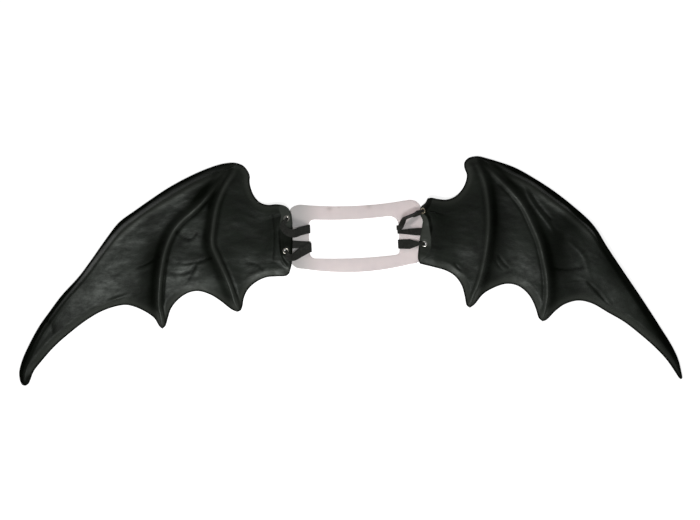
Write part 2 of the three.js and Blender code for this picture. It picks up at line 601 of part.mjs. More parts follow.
// The stations of a half turn about a bar's edge, from one height to another. out points off the bar.
function halfTurn(edge, out, fromZ, toZ, across, width) {
  const [middle, radius] = [(fromZ + toZ) / 2, (fromZ - toZ) / 2];
  return Array.from({ length: BEND_STEPS + 1 }, (_, i) => {
    const angle = Math.PI * (0.5 - i / BEND_STEPS);
    const place = edge.clone().addScaledVector(out, Math.abs(radius) * Math.cos(angle));
    return station(place, middle + radius * Math.sin(angle), across, width);
  });
}

function ribbonStations({ wing: side, eyelet: level, bar, barWidth, second, lead }, wing, shape, seat) {
  const up = new THREE.Vector3(0, 0, 1);
  const full = RIBBON.width;
  const crown = gripHalf(seat.axis) + GAP + EYELET.lip;
  const barX = OPENING.shiftX + wing.side * (OPENING.length / 2);
  const inward = platePlace(-wing.side, 0);
  const across = platePlace(0, 1);
  const barEdge = (share, width) => {
    const y = (share * OPENING.height) / 2;
    const reach = cornerReach(wing.side, y, (width * full) / 2);
    return platePlace(barX - wing.side * reach, OPENING.shiftY + y);
  };
  const hole = seat.centre.clone().setZ(0);
  const first = barEdge(bar, barWidth);
  const way = first.clone().sub(hole);
  const aside = new THREE.Vector3(-way.y, way.x, 0).normalize();

  // The strand on top, from the eyelet to the bar
  const strand = lead.map((row) => {
    const place = hole.clone().addScaledVector(way, row.along).addScaledVector(aside, row.aside * full);
    if (row.on !== 'edge') return { ...row, place };
    const edge = rootEdgeAt(shape, wingLocal(wing, place).y) - EDGE_PAST;
    return { ...row, place: place.addScaledVector(way, (wingPlace(wing, edge, 0).x - place.x) / way.x) };
  });
  const heading = strand[0].place.clone().sub(hole).normalize();
  const bunchAcross = new THREE.Vector3().crossVectors(seat.axis, heading).normalize();
  const layer = second ? 1 : 0;
  const onTop = strand.map((row, i) => {
    const next = strand[i + 1]?.place ?? first;
    const last = strand[i - 1]?.place ?? hole;
    const flat = new THREE.Vector3(last.y - next.y, next.x - last.x, 0).normalize();
    const width = row.width * full;
    const roll = THREE.MathUtils.degToRad(row.roll);
    const local = wingLocal(wing, row.place);
    const onFlange = row.on !== 'plate';
    const slope = onFlange ? sheetNormal(wing, shape, local, SLOPE_REACH) : up;
    flat.addScaledVector(slope, -flat.dot(slope)).normalize();
    flat.multiplyScalar(Math.cos(roll)).addScaledVector(slope, -wing.side * Math.sin(roll));
    const offFlange = ({ x, y }) => shape.underside(x, y) + WALL + FLANGE.clear + RIBBON.thick / 2;
    const sides = [-width / 2, width / 2]
      .map((offset) => wingLocal(wing, row.place.clone().addScaledVector(flat, offset)));
    const overFlange = sides.filter(({ x, y }) => x > rootEdgeAt(shape, y) - FLANGE.clear).map(offFlange);
    const bed = onFlange ? offFlange(local) : Math.max(aboveBar(row.place.x, layer) + GAP, ...overFlange);
    return station(row.place, bed + (width / 2) * Math.sin(roll), flat, width);
  });

  // Through the eyelet from below, its lips cleared on both sides
  const outside = Math.max(PLATE.length / 2 + EYELET.hole * RISE_CLEAR, Math.abs(hole.x) + GAP);
  const besidePlate = belowBar(PLATE.length / 2, 0);
  const rise = RISE.map((row) => {
    const place = { x: wing.side * (outside + row.out * full), y: hole.y };
    return station(place, besidePlate + row.up * full, across, row.width * full, row.thick * RIBBON.thick);
  });
  const through = THROUGH.map((row) => {
    const place = seat.centre.clone()
      .addScaledVector(seat.axis, row.lips * crown + row.past * full)
      .addScaledVector(heading, row.ahead * full);
    return station(place, place.z, bunchAcross, row.width * full, row.thick * RIBBON.thick);
  });

  // Round the bar, and back below it to the eyelet
  const turn = (share, width, tier) => {
    const edge = barEdge(share, width);
    return halfTurn(edge, inward, aboveBar(barX, tier), belowBar(barX, tier), across, width * full);
  };
  const below = (from, to, share, tier, width) => {
    const place = from.clone().lerp(to, share);
    return station(place, belowBar(place.x, tier), across, width * full);
  };
  if (!second) {
    return [
      ...rise, ...through, ...onTop, ...turn(bar, barWidth, 0),
      below(first, hole, BACK.near, 0, barWidth), below(first, hole, BACK.far, 0, BACK.width),
    ];
  }
  const endY = OPENING.shiftY + (second.endBar * OPENING.height) / 2;
  const end = platePlace(wing.side * (PLATE.length / 2), endY);
  const inner = barEdge(second.bar, second.width);
  const outward = inward.clone().negate();
  const above = (share, width) => {
    const place = end.clone().lerp(inner, share);
    return station(place, aboveBar(place.x, 0), across, width * full);
  };
  const [endLow, endHigh] = [belowBar(PLATE.length / 2, 1), aboveBar(PLATE.length / 2, 0)];
  const endWidth = second.endWidth;
  return [
    ...rise, ...through, ...onTop, ...turn(bar, barWidth, 1),
    below(first, end, SECOND_BACK.near, 1, mix(barWidth, endWidth, SECOND_BACK.near)),
    below(first, end, SECOND_BACK.far, 1, endWidth),
    ...halfTurn(end, outward, endLow, endHigh, across, endWidth * full),
    above(SECOND_OVER.near, endWidth), above(SECOND_OVER.far, mix(endWidth, second.width, SECOND_OVER.far)),
    ...turn(second.bar, second.width, 0),
    below(inner, hole, BACK.near, 0, BACK.secondWidth), below(inner, hole, BACK.far, 0, BACK.secondWidth),
  ];
}

// A closed band of ribbon swept through its stations
function ribbonBand(stations) {
  const curve = new THREE.CatmullRomCurve3(stations.map(({ place }) => place), true, 'centripetal');
  const count = stations.length * STEPS_PER_STATION;
  const positions = [];
  let before = null;
  for (let i = 0; i < count; i += 1) {
    const share = (i % STEPS_PER_STATION) / STEPS_PER_STATION;
    const from = Math.floor(i / STEPS_PER_STATION);
    const [a, b] = [stations[from], stations[(from + 1) % stations.length]];
    const [place, ahead] = [curve.getPoint(i / count), curve.getTangent(i / count)];
    const towards = b.across.clone().multiplyScalar(a.across.dot(b.across) < 0 ? -1 : 1);
    const across = a.across.clone().lerp(towards, share).normalize();
    if (before && across.dot(before) < 0) across.negate();
    before = across;
    const face = new THREE.Vector3().crossVectors(ahead, across).normalize();
    const [w, h] = [mix(a.width, b.width, share) / 2, mix(a.thick, b.thick, share) / 2];
    for (const [u, v] of [[-w, -h], [w, -h], [w, h], [-w, h]]) {
      positions.push(...place.clone().addScaledVector(across, u).addScaledVector(face, v).toArray());
    }
  }
  const first = new THREE.Vector3(...positions.slice(3, 6)).sub(new THREE.Vector3(...positions.slice(0, 3)));
  const shift = first.dot(before) < 0 ? 2 : 0;

  // Opposite faces take the same diagonal, so that they stay clear of one another where the band twists
  const index = [];
  for (let i = 0; i < count; i += 1) {
    const next = (i + 1) % count;
    const slip = next === 0 ? shift : 0;
    for (let k = 0; k < 4; k += 1) {
      const [a, b] = [i * 4 + k, i * 4 + ((k + 1) % 4)];
      const [c, d] = [next * 4 + ((k + 1 + slip) % 4), next * 4 + ((k + slip) % 4)];
      index.push(...(k < 2 ? [a, b, c, a, c, d] : [a, b, d, b, c, d]));
    }
  }
  const geometry = new THREE.BufferGeometry();
  geometry.setAttribute('position', new THREE.Float32BufferAttribute(positions, 3));
  geometry.setIndex(index);
  return toGeometry(toSolid(geometry));
}

const group = new THREE.Group();
for (const [side, wing] of Object.entries(WINGS)) {
  const shape = sheetShape(wing);
  const seats = wing.eyelets.map((eyelet) => eyeletSeat(wing, shape, eyelet));
  group.add(namedMesh(`${side}_wing`, wingSheet(wing, shape, seats), COLOURS.foam));
  wing.eyelets.forEach((eyelet, i) => {
    const ribbon = RIBBONS.find((row) => row.wing === side && row.eyelet === eyelet.name);
    const band = ribbonBand(ribbonStations(ribbon, wing, shape, seats[i]));
    group.add(namedMesh(`eyelet_${side}_${eyelet.name}`, eyeletRing(seats[i]), COLOURS.metal));
    group.add(namedMesh(`ribbon_${side}_${eyelet.name}`, band, COLOURS.ribbon));
  });
}
group.add(namedMesh('back_plate', backPlate(), COLOURS.plastic));

// The origin is the middle of the whole, on the surface that it lies on
const box = new THREE.Box3().setFromObject(group);
const middle = box.getCenter(new THREE.Vector3());
group.position.set(-middle.x, -middle.y, -box.min.z);

export default group;
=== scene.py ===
"""Costume bat wings: two moulded foam wings laced with ribbon to a milky, flexible back plate.

They lie on a white floor under one soft light, and the camera looks straight down at them.
Shapes are worked out in millimetres, +X to the right wing and +Y up the wearer's back.
"""
import math

import bmesh
import bpy
import numpy as np
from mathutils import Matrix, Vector, noise


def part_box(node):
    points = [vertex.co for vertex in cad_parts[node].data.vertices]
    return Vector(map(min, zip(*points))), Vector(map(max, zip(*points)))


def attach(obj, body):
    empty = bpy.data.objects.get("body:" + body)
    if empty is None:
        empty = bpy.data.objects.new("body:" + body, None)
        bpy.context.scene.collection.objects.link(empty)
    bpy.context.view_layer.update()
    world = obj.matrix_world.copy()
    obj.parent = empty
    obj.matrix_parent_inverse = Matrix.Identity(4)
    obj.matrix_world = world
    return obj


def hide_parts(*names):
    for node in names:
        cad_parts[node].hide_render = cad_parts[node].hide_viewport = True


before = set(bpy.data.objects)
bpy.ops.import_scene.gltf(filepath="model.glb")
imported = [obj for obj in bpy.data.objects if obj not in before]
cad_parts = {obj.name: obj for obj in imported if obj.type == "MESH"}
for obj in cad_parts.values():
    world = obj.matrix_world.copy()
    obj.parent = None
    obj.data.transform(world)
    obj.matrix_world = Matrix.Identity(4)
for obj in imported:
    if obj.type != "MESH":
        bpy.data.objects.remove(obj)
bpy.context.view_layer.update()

MM = 0.001

# Ribbon: woven width, thickness, and the space that it keeps off the plate
GAP = 0.3
RIBBON = {"width": 15, "thick": 0.8, "bed": 0.42}

# Its weave: a thin sheet with threads across it and one along each edge. The two threads are radii.
RIBBON_SHEET = 0.4
RIB_PITCH = 0.95
RIB_THREAD = 0.36
SELVEDGE_THREAD = 0.42
THREAD_SIDES = 8
PLEATS = 2
ROWS_PER_RIB = 2
RIBBON_TRACE = 40
WARP_PITCH = 0.55

# Eyelet: a rolled ring clinched round the edge of a punched hole
EYELET = {"hole": 5.2, "barrel": 0.6, "rim": 10, "lip": 0.5}
EYELET_DOME = 0.72
EYELET_ROLL = 0.14
EYELET_CROWN_INSET = 0.25
EYELET_SIDES = 72
HOLE_SIDES = 48
LIP_SEAT = 0.03
LIP_BED = 0.42

# How yellow each eyelet has gone, as a share
TARNISH = {"left_upper": 0.05, "left_lower": 0.15, "right_upper": 0.5, "right_lower": 0.0}

# Back plate: a flexible sheet with a rounded opening, bowed in outline and arched off the surface
PLATE = {"length": 214, "height": 112, "thick": 1.8, "tilt": 2.6, "arch": 3, "corner": 21}
PLATE_TOP_BOW = 6
PLATE_FOOT_BOW = 9
OPENING = {"length": 143, "height": 61.6, "shift_x": -3, "shift_y": 2.8, "bow": 2.4}
OPENING_CORNERS = {"upper_left": 10, "upper_right": 17, "lower_right": 8, "lower_left": 11}
PLATE_CORNER_STEPS = 12
PLATE_SIDE_STEPS = 48
PLATE_RING_STEPS = 14
PLATE_EDGE_ROUND = 0.6
PLATE_EDGE_STEPS = 6

# The plate's end under the left wing is in shade, from this far left of its middle
PLATE_SHADE = {"from": 50, "fade": 45}

# Small dents by the plate's top edge: x, y, radius and depth
DENTS = [(-40.5, 50.5, 3.5, 0.8), (22.5, 51.5, 4.0, 0.8), (-24.0, 52.5, 2.2, 0.4)]

# Wing sheet: its wall, and how its moulded relief rises from the rim
WALL = 3
RIM_REACH = 14
MEMBRANE = 3
ARM = {"height": 11.5, "inner": 46, "outer": 14, "crest": 1.5, "crest_half": 6.5}
FINGER = {"height": 6.5, "inner": 30, "outer": 11, "crest": 2.2, "crest_half": 3.8}
RIB_SHARPNESS = 1.6
ROOT_FADE = 80
BELLY = {"height": 4, "reach": 55, "fade": 130, "from_root": 30}
FLANGE = {"width": 20, "slope": 0.25, "fade": 24, "clear": 0.8}
EAR = {"slope": 0.85, "half": 26}
EDGE_ROUND = 0.9

# Height of each rib along its length, as a share of its full height: along, share
ARM_TAPER = [(0, 0.4), (0.1, 0.8), (0.38, 1), (0.6, 0.8), (0.85, 0.5), (1, 0.25)]
FINGER_TAPER = [(0, 0.3), (0.15, 0.9), (0.48, 1), (0.8, 0.8), (1, 0.35)]
# How sharp the arm's crest is along its length, and how strong its painted highlight and wear: along, share
ARM_CREST = [(0, 0.5), (0.1, 0.9), (0.38, 1), (0.58, 0.3), (0.8, 0.1), (1, 0)]

# Layers of ribbon below the plate, and the heights that follow from them
LAYER = RIBBON["thick"] + GAP
PLATE_BOTTOM = GAP + RIBBON["bed"] + 2 * LAYER
ROOT_LIFT = PLATE_BOTTOM + PLATE["thick"] + RIBBON["bed"] + LAYER + GAP

# Each wing's outline and ribs. A row is (out, down): out is a share of the wing's reach from the root
# edge, and down is a share of its drop from the top of the thumb. The flap table and its width say how
# much painted light, or below 0 painted shade, lies on the root's flap down its edge, and shade how dark
# the painted shade on the leading slope is along it, over shade_half millimetres. Their rows are: along,
# share.
WINGS = {
    "left": {
        "side": -1, "reach": 437, "drop": 356.6, "lap": 5.4, "seat": -2.9, "ear_down": None,
        "groove": 1.0, "tab": [(0, 0.9), (0.22, 0.75), (0.4, -0.3), (0.6, -0.6), (0.8, 0), (1, 0.3)],
        "tab_width": [(0, 1), (1, 1)], "shade": [(0, 0.3), (0.5, 0.4), (0.72, 1.2), (1, 1.2)],
        "shade_half": 9,
        "root_top": (0.014, 0.205), "thumb_inner": (0.200, 0.003), "thumb_outer": (0.229, 0.000),
        "tip_top": (0.997, 0.978), "tip_foot": (0.959, 0.973), "outer_claw": (0.476, 0.745),
        "inner_claw": (0.203, 0.669), "root_foot": (0.011, 0.496),
        "root_edge": [(0.005, 0.228), (0, 0.275), (0, 0.392), (0.002, 0.454)],
        "notch": [(0.029, 0.193), (0.057, 0.187), (0.092, 0.189), (0.119, 0.178), (0.140, 0.150),
                  (0.152, 0.116), (0.157, 0.084), (0.156, 0.060), (0.166, 0.033), (0.181, 0.013)],
        "thumb": [(0.214, 0.000)],
        "leading": [(0.260, 0.006), (0.311, 0.026), (0.383, 0.065), (0.456, 0.114), (0.521, 0.167),
                    (0.579, 0.217), (0.624, 0.256), (0.643, 0.278), (0.687, 0.350), (0.738, 0.439),
                    (0.781, 0.510), (0.847, 0.599), (0.890, 0.670), (0.926, 0.732), (0.962, 0.812),
                    (0.988, 0.883), (1.000, 0.941)],
        "tip": [(0.989, 0.996), (0.977, 1.000), (0.966, 0.991)],
        "outer_scallop": [(0.487, 0.734), (0.506, 0.697), (0.550, 0.661), (0.601, 0.639),
                          (0.637, 0.642), (0.695, 0.665), (0.752, 0.705), (0.810, 0.759),
                          (0.868, 0.821), (0.919, 0.891), (0.947, 0.936)],
        "middle_scallop": [(0.222, 0.659), (0.268, 0.616), (0.304, 0.590), (0.347, 0.576),
                           (0.383, 0.585), (0.420, 0.616), (0.445, 0.656), (0.456, 0.697),
                           (0.465, 0.732)],
        "inner_scallop": [(0.022, 0.507), (0.057, 0.510), (0.094, 0.514), (0.130, 0.533),
                          (0.163, 0.569), (0.178, 0.608), (0.183, 0.643), (0.190, 0.663)],
        "inner_finger": [(0.218, 0.048), (0.249, 0.109), (0.276, 0.190), (0.291, 0.293),
                         (0.293, 0.369), (0.273, 0.430), (0.244, 0.508), (0.218, 0.594)],
        "outer_finger": [(0.247, 0.046), (0.290, 0.122), (0.353, 0.205), (0.408, 0.264),
                         (0.438, 0.313), (0.460, 0.374), (0.474, 0.445), (0.484, 0.535),
                         (0.488, 0.638)],
        "arm": [(0.256, 0.043), (0.357, 0.100), (0.445, 0.163), (0.520, 0.217), (0.574, 0.266),
                (0.628, 0.324), (0.676, 0.392), (0.730, 0.474), (0.811, 0.598), (0.865, 0.681),
                (0.912, 0.773), (0.947, 0.856), (0.974, 0.939)],
        "flange": [(0, 0.7), (0.3, 1), (0.6, 0.98), (0.8, 0.75), (1, 0.1)],
        "eyelets": {"upper": (0.251, 0.88), "lower": (0.396, 1.07)},
    },
    "right": {
        "side": 1, "reach": 422.7, "drop": 356.6, "lap": 8.1, "seat": 12.7, "ear_down": 0.247,
        "groove": 0.4,
        "tab": [(0, 0.1), (0.12, 0.2), (0.25, 0.8), (0.4, 1), (0.65, 0.9), (0.78, 0.2), (1, 0.1)],
        "tab_width": [(0, 0.2), (0.25, 0.35), (0.4, 0.6), (0.6, 0.95), (1, 1)],
        "shade": [(0, 0.5), (0.42, 0.7), (0.52, 1.6), (0.75, 1.5), (1, 0.7)], "shade_half": 15,
        "root_top": (0.036, 0.190), "thumb_inner": (0.207, 0.002), "thumb_outer": (0.239, 0.002),
        "tip_top": (0.999, 0.979), "tip_foot": (0.987, 0.993), "outer_claw": (0.472, 0.741),
        "inner_claw": (0.197, 0.680), "root_foot": (0.007, 0.482),
        "root_edge": [(0.028, 0.209), (0.012, 0.226), (0.006, 0.245), (0.008, 0.264),
                      (0.016, 0.284), (0.016, 0.310), (0.009, 0.355), (0.002, 0.415), (0, 0.461)],
        "notch": [(0.050, 0.187), (0.074, 0.192), (0.107, 0.195), (0.140, 0.181), (0.167, 0.149),
                  (0.182, 0.111), (0.185, 0.082), (0.176, 0.053), (0.176, 0.028), (0.190, 0.009)],
        "thumb": [(0.224, 0.000)],
        "leading": [(0.295, 0.021), (0.367, 0.051), (0.439, 0.098), (0.512, 0.154), (0.584, 0.220),
                    (0.652, 0.292), (0.681, 0.336), (0.712, 0.398), (0.780, 0.520), (0.849, 0.641),
                    (0.917, 0.766), (0.962, 0.852), (0.986, 0.914)],
        "tip": [(1.000, 0.995), (0.995, 1.000)],
        "outer_scallop": [(0.487, 0.734), (0.519, 0.696), (0.553, 0.666), (0.606, 0.648),
                          (0.659, 0.661), (0.720, 0.702), (0.780, 0.743), (0.841, 0.799),
                          (0.894, 0.854), (0.939, 0.910), (0.964, 0.951)],
        "middle_scallop": [(0.214, 0.666), (0.247, 0.619), (0.288, 0.590), (0.334, 0.573),
                           (0.375, 0.580), (0.410, 0.609), (0.432, 0.645), (0.447, 0.687),
                           (0.458, 0.727)],
        "inner_scallop": [(0.023, 0.487), (0.061, 0.498), (0.107, 0.514), (0.141, 0.539),
                          (0.166, 0.581), (0.178, 0.632), (0.185, 0.670)],
        "inner_finger": [(0.228, 0.048), (0.251, 0.116), (0.263, 0.199), (0.267, 0.282),
                         (0.263, 0.365), (0.254, 0.448), (0.239, 0.533), (0.218, 0.609)],
        "outer_finger": [(0.258, 0.044), (0.302, 0.099), (0.358, 0.166), (0.400, 0.232),
                         (0.430, 0.306), (0.456, 0.381), (0.474, 0.464), (0.487, 0.555),
                         (0.488, 0.641)],
        "arm": [(0.274, 0.037), (0.344, 0.087), (0.428, 0.136), (0.498, 0.199), (0.568, 0.257),
                (0.623, 0.315), (0.673, 0.373), (0.721, 0.456), (0.777, 0.555), (0.827, 0.647),
                (0.883, 0.747), (0.932, 0.829), (0.974, 0.929)],
        "flange": [(0, 0.35), (0.25, 0.55), (0.5, 0.8), (0.75, 0.95), (0.9, 0.6), (1, 0.1)],
        "eyelets": {"upper": (0.247, 0.55), "lower": (0.3934, 0.85)},
    },
}

# Creases pressed into each sheet: depth (a ridge where it is below 0) and half width in millimetres,
# and the line as (out, down)
CREASES = {
    "left": [
        (0.62, 1.87, [(0.425, 0.308), (0.398, 0.337), (0.367, 0.341), (0.350, 0.321)]),
        (0.56, 1.58, [(0.456, 0.441), (0.425, 0.453), (0.364, 0.449), (0.296, 0.428)]),
        (0.74, 1.87, [(0.459, 0.491), (0.418, 0.499), (0.371, 0.486), (0.350, 0.453), (0.303, 0.432)]),
        (0.68, 1.73, [(0.378, 0.524), (0.364, 0.491), (0.352, 0.462)]),
        (0.5, 1.58, [(0.567, 0.474), (0.533, 0.458), (0.486, 0.424)]),
        (-0.74, 2.16, [(0.594, 0.590), (0.635, 0.607), (0.709, 0.648)]),
        (0.43, 1.3, [(0.072, 0.235), (0.066, 0.320), (0.070, 0.445)]),
        (0.6, 1.4, [(0.044, 0.247), (0.048, 0.322), (0.038, 0.417), (0.019, 0.451)]),
        (-0.5, 1.3, [(0.046, 0.400), (0.042, 0.422), (0.027, 0.456), (0.010, 0.474)]),
        (0.56, 1.8, [(0.110, 0.480), (0.135, 0.455), (0.165, 0.450)]),
        (0.5, 2.16, [(0.905, 0.700), (0.880, 0.720), (0.868, 0.760)]),
    ],
    "right": [
        (-0.68, 1.87, [(0.400, 0.128), (0.421, 0.190), (0.449, 0.240), (0.498, 0.315), (0.512, 0.348)]),
        (0.5, 2.16, [(0.425, 0.170), (0.455, 0.222), (0.500, 0.285)]),
        (-0.5, 2.52, [(0.568, 0.381), (0.623, 0.448), (0.645, 0.531)]),
        (0.68, 1.87, [(0.637, 0.564), (0.673, 0.605), (0.715, 0.664)]),
        (-0.56, 1.73, [(0.533, 0.581), (0.581, 0.568), (0.637, 0.564)]),
        (0.68, 1.87, [(0.302, 0.448), (0.320, 0.476), (0.340, 0.500)]),
        (0.5, 1.58, [(0.290, 0.470), (0.305, 0.495), (0.318, 0.512)]),
        (0.56, 1.73, [(0.137, 0.481), (0.150, 0.500), (0.162, 0.514)]),
        (0.37, 2.16, [(0.505, 0.505), (0.560, 0.510), (0.620, 0.500)]),
    ],
}
CREASE_LIPS = {"share": 0.3, "off": 2.6, "half": 1.5}
CREASE_TRACE = 24

# Patches of painted light, or of painted shade where the share is below 0: middle as (out, down), half
# sizes in millimetres, share
LIGHT_AND_SHADE_PATCHES = {
    "left": [
        (0.657, 0.504, 50, 44, 0.8), (0.565, 0.329, 32, 26, 0.7), (0.440, 0.188, 34, 14, 0.4),
        (0.376, 0.314, 22, 24, 1.1), (0.405, 0.483, 26, 16, 0.9), (0.291, 0.546, 30, 15, 0.8),
        (0.142, 0.434, 42, 22, 0.5), (0.748, 0.630, 28, 26, 0.3), (0.520, 0.406, 20, 62, -0.9),
        (0.325, 0.153, 26, 26, -0.7), (0.542, 0.602, 25, 25, -0.5), (0.931, 0.900, 20, 32, -0.4),
    ],
    "right": [
        (0.394, 0.412, 26, 48, 0.55), (0.323, 0.511, 22, 16, 0.6), (0.631, 0.483, 26, 30, 0.8),
        (0.784, 0.651, 32, 36, 0.7), (0.524, 0.216, 36, 16, 0.5), (0.169, 0.440, 32, 22, 0.5),
        (0.524, 0.412, 22, 52, -0.9), (0.571, 0.300, 24, 26, -0.6), (0.299, 0.258, 16, 46, -0.5),
        (0.110, 0.258, 22, 22, -0.4), (0.962, 0.861, 20, 36, -0.3), (0.335, 0.132, 20, 20, -0.4),
    ],
}

# The valley beside each finger, the slow swells and small rumples of the skin, and how far in from the
# rim both come up to their height
GROOVE = {"off": 6.6, "half": 2.3, "depth": 1.3}
SWELLS = {"height": 0.8, "fine": 0.35, "reach": 46, "fade": 30}
RUMPLES = {"height": 0.55, "reach": 17, "stretch": 1.7, "rows_apart": 40, "fade": 6}

# Painted highlight and wear along the scallops and painted shade at the rim, and how much each cause
# of painted shade darkens the foam
SCALLOP_HIGHLIGHT_AND_RIM_SHADE = {"foot": 6.0, "in": 4.5, "edge": 2.0}
PAINTED_SHADE_WEIGHT = {"slope": 0.7, "crease": 0.6, "edge": 1.5, "patch": 0.7, "flap": 0.8}

# Where the sheet's mesh has its lines, down each panel and across the three panels, and how finely
# each of those spaces is divided
ROW_SHARES = [0, 0.025, 0.06, 0.1, 0.16, 0.25, 0.37, 0.51, 0.65, 0.78, 0.88, 0.955, 1]
ROOT_SHARES = [0, 0.03, 0.07, 0.11, 0.16, 0.22, 0.32, 0.46, 0.62, 0.78, 0.92, 1]
MIDDLE_SHARES = [0, 0.06, 0.14, 0.26, 0.42, 0.58, 0.74, 0.86, 0.94, 1]
OUTER_SHARES = [0, 0.02, 0.05, 0.1, 0.16, 0.23, 0.3, 0.37, 0.44, 0.51, 0.58, 0.65, 0.72, 0.79, 0.86,
                0.92, 0.97, 1]
ROW_SPLIT = 11
COLUMN_SPLIT = {"root": 5, "middle": 6, "outer": 6}
TIP_EASE_FROM = 0.55
TRACE_STEPS = 160

# Ribbons. bar is where each rounds the plate's side bar, as a share of half the opening's height above
# its middle. A row of lead is (what it lies on, along, aside, width, roll): along is a share of the
# straight way from the eyelet to the bar, aside and width are shares of the ribbon's width, and roll is
# how far it stands up on its edge, in degrees. A double ribbon takes a second turn round the bar.
RIBBONS = {
    "left_upper": {
        "bar": 0.53, "bar_width": 0.86, "second": None,
        "lead": [("flange", -0.015, -0.8, 0.5, 0), ("flange", 0.19, -1.2, 0.7, 0),
                 ("edge", 0.39, -1.14, 0.84, 0), ("plate", 0.72, -0.6, 0.86, 0)],
    },
    "left_lower": {
        "bar": -0.43, "bar_width": 0.95,
        "second": {"bar": -0.27, "width": 0.6, "end_bar": -0.22, "end_width": 0.78},
        "lead": [("flange", 0.09, -0.68, 0.62, 0), ("edge", 0.24, -0.78, 0.74, 0),
                 ("plate", 0.62, -0.37, 0.9, 0)],
    },
    "right_upper": {
        "bar": 0.4, "bar_width": 0.46,
        "second": {"bar": 0.18, "width": 0.36, "end_bar": 0.13, "end_width": 0.74},
        "lead": [("plate", 0.18, -0.12, 0.62, 38), ("plate", 0.354, -0.24, 0.95, 72),
                 ("plate", 0.6, -0.4, 0.95, 71), ("plate", 0.68, -0.42, 0.9, 64),
                 ("plate", 0.76, -0.28, 0.8, 50), ("plate", 0.85, -0.09, 0.6, 30),
                 ("plate", 0.935, 0.07, 0.5, 8)],
    },
    "right_lower": {
        "bar": -0.46, "bar_width": 0.92, "second": None,
        "lead": [("edge", 0.2, 0, 0.33, 0), ("plate", 0.58, 0, 1, 0), ("plate", 0.82, 0, 0.96, 0)],
    },
}

# The strand as it comes up past the plate's end and through the eyelet, bunched. Lengths are shares of
# the ribbon's width, and thick is a share of its thickness.
RISE_CLEAR = 0.65
RISE = [(-0.21, -0.01, 0.42, 1.1), (-0.045, 0.035, 0.38, 1.6), (0, 0.173, 0.28, 2.25)]
THROUGH = [(-1, -0.04, 0, 0.28, 2.25), (0, 0, 0, 0.28, 2.25), (1, 0.027, 0.007, 0.28, 2.25),
           (1, 0.12, 0.113, 0.28, 2), (1, 0.107, 0.307, 0.34, 1.5)]
BACK = {"near": 0.35, "far": 0.7, "width": 0.72, "second_width": 0.5}
SECOND_BACK = {"near": 0.35, "far": 0.8}
SECOND_OVER = {"near": 0.25, "far": 0.8}
EDGE_PAST = 1
BEND_STEPS = 4
ACROSS_STEPS = 12

# The view: its width in millimetres at the floor, the place that its middle looks at, and how far off
# the camera is, which is near enough to straight down everywhere
VIEW_WIDTH = 1120
VIEW_CENTRE = (-1.3, 17.4)
CAMERA_HEIGHT = 3200
SENSOR = 36
CLIP_END = 20
FLOOR_HALF = 4000
FLOOR_CLEAR = 0.2
FLOOR_GLOW = 0.8
WORLD_STRENGTH = 0.14

# The soft light, a disk aimed at the middle of the view: place and size across in millimetres, and
# power in watts
KEY_LIGHT = {"place": (-110, -400, 820), "across": 280, "power": 3.5}


def mix(a, b, t):
    return a + (b - a) * t


def smooth(t):
    t = np.clip(t, 0, 1)
    return t * t * (3 - 2 * t)


def rounded(t):
    t = np.clip(t, 0, 1)
    return t * (3 - t * t) / 2


def unit(v):
    return v / np.linalg.norm(v)


def bell(distance, half):
    return np.exp(-((distance / half) ** 2))


def read_table(rows, along):
    """A share read from a short table, eased between its rows."""
    places = np.array([row[0] for row in rows], float)
    shares = np.array([row[1] for row in rows], float)
    at = np.clip(np.searchsorted(places, along) - 1, 0, len(rows) - 2)
    return mix(shares[at], shares[at + 1], smooth((along - places[at]) / (places[at + 1] - places[at])))


# Curves

def curve_at(points, t, closed=False):
    """Places and directions on a centripetal Catmull-Rom curve through the points."""
    points = np.asarray(points, float)
    count = len(points)
    spans = count if closed else count - 1
    p = np.asarray(t, float) * spans
    index = np.clip(np.floor(p).astype(int), 0, spans - 1)
    w = (p - index)[:, None]
    if closed:
        p0, p1, p2, p3 = (points[(index + k) % count] for k in (-1, 0, 1, 2))
    else:
        first, last = 2 * points[0] - points[1], 2 * points[-1] - points[-2]
        padded = np.vstack([first, points, last])
        p0, p1, p2, p3 = (padded[index + k] for k in range(4))
    step = [np.sum((b - a) ** 2, axis=1)[:, None] ** 0.25 for a, b in ((p0, p1), (p1, p2), (p2, p3))]
    d1 = np.maximum(step[1], 1e-4)
    d0 = np.where(step[0] < 1e-4, d1, step[0])
    d2 = np.where(step[2] < 1e-4, d1, step[2])
    t1 = ((p1 - p0) / d0 - (p2 - p0) / (d0 + d1) + (p2 - p1) / d1) * d1
    t2 = ((p2 - p1) / d1 - (p3 - p1) / (d1 + d2) + (p3 - p2) / d2) * d1
    c2 = -3 * p1 + 3 * p2 - 2 * t1 - t2
    c3 = 2 * p1 - 2 * p2 + t1 + t2
    return p1 + t1 * w + c2 * w**2 + c3 * w**3, t1 + 2 * c2 * w + 3 * c3 * w**2


def trace(points, steps=TRACE_STEPS):
    """A curve through the points as places at even lengths along it."""
    dense, _ = curve_at(points, np.linspace(0, 1, 40 * (len(points) - 1) + 1))
    return at_share(dense, np.linspace(0, 1, steps + 1))


def at_share(line, share):
    """Places on a traced line at shares of its length."""
    lengths = np.r_[0, np.cumsum(np.linalg.norm(np.diff(line, axis=0), axis=1))]
    places = np.asarray(share) * lengths[-1]
    return np.stack([np.interp(places, lengths, line[:, k]) for k in range(line.shape[1])], axis=-1)


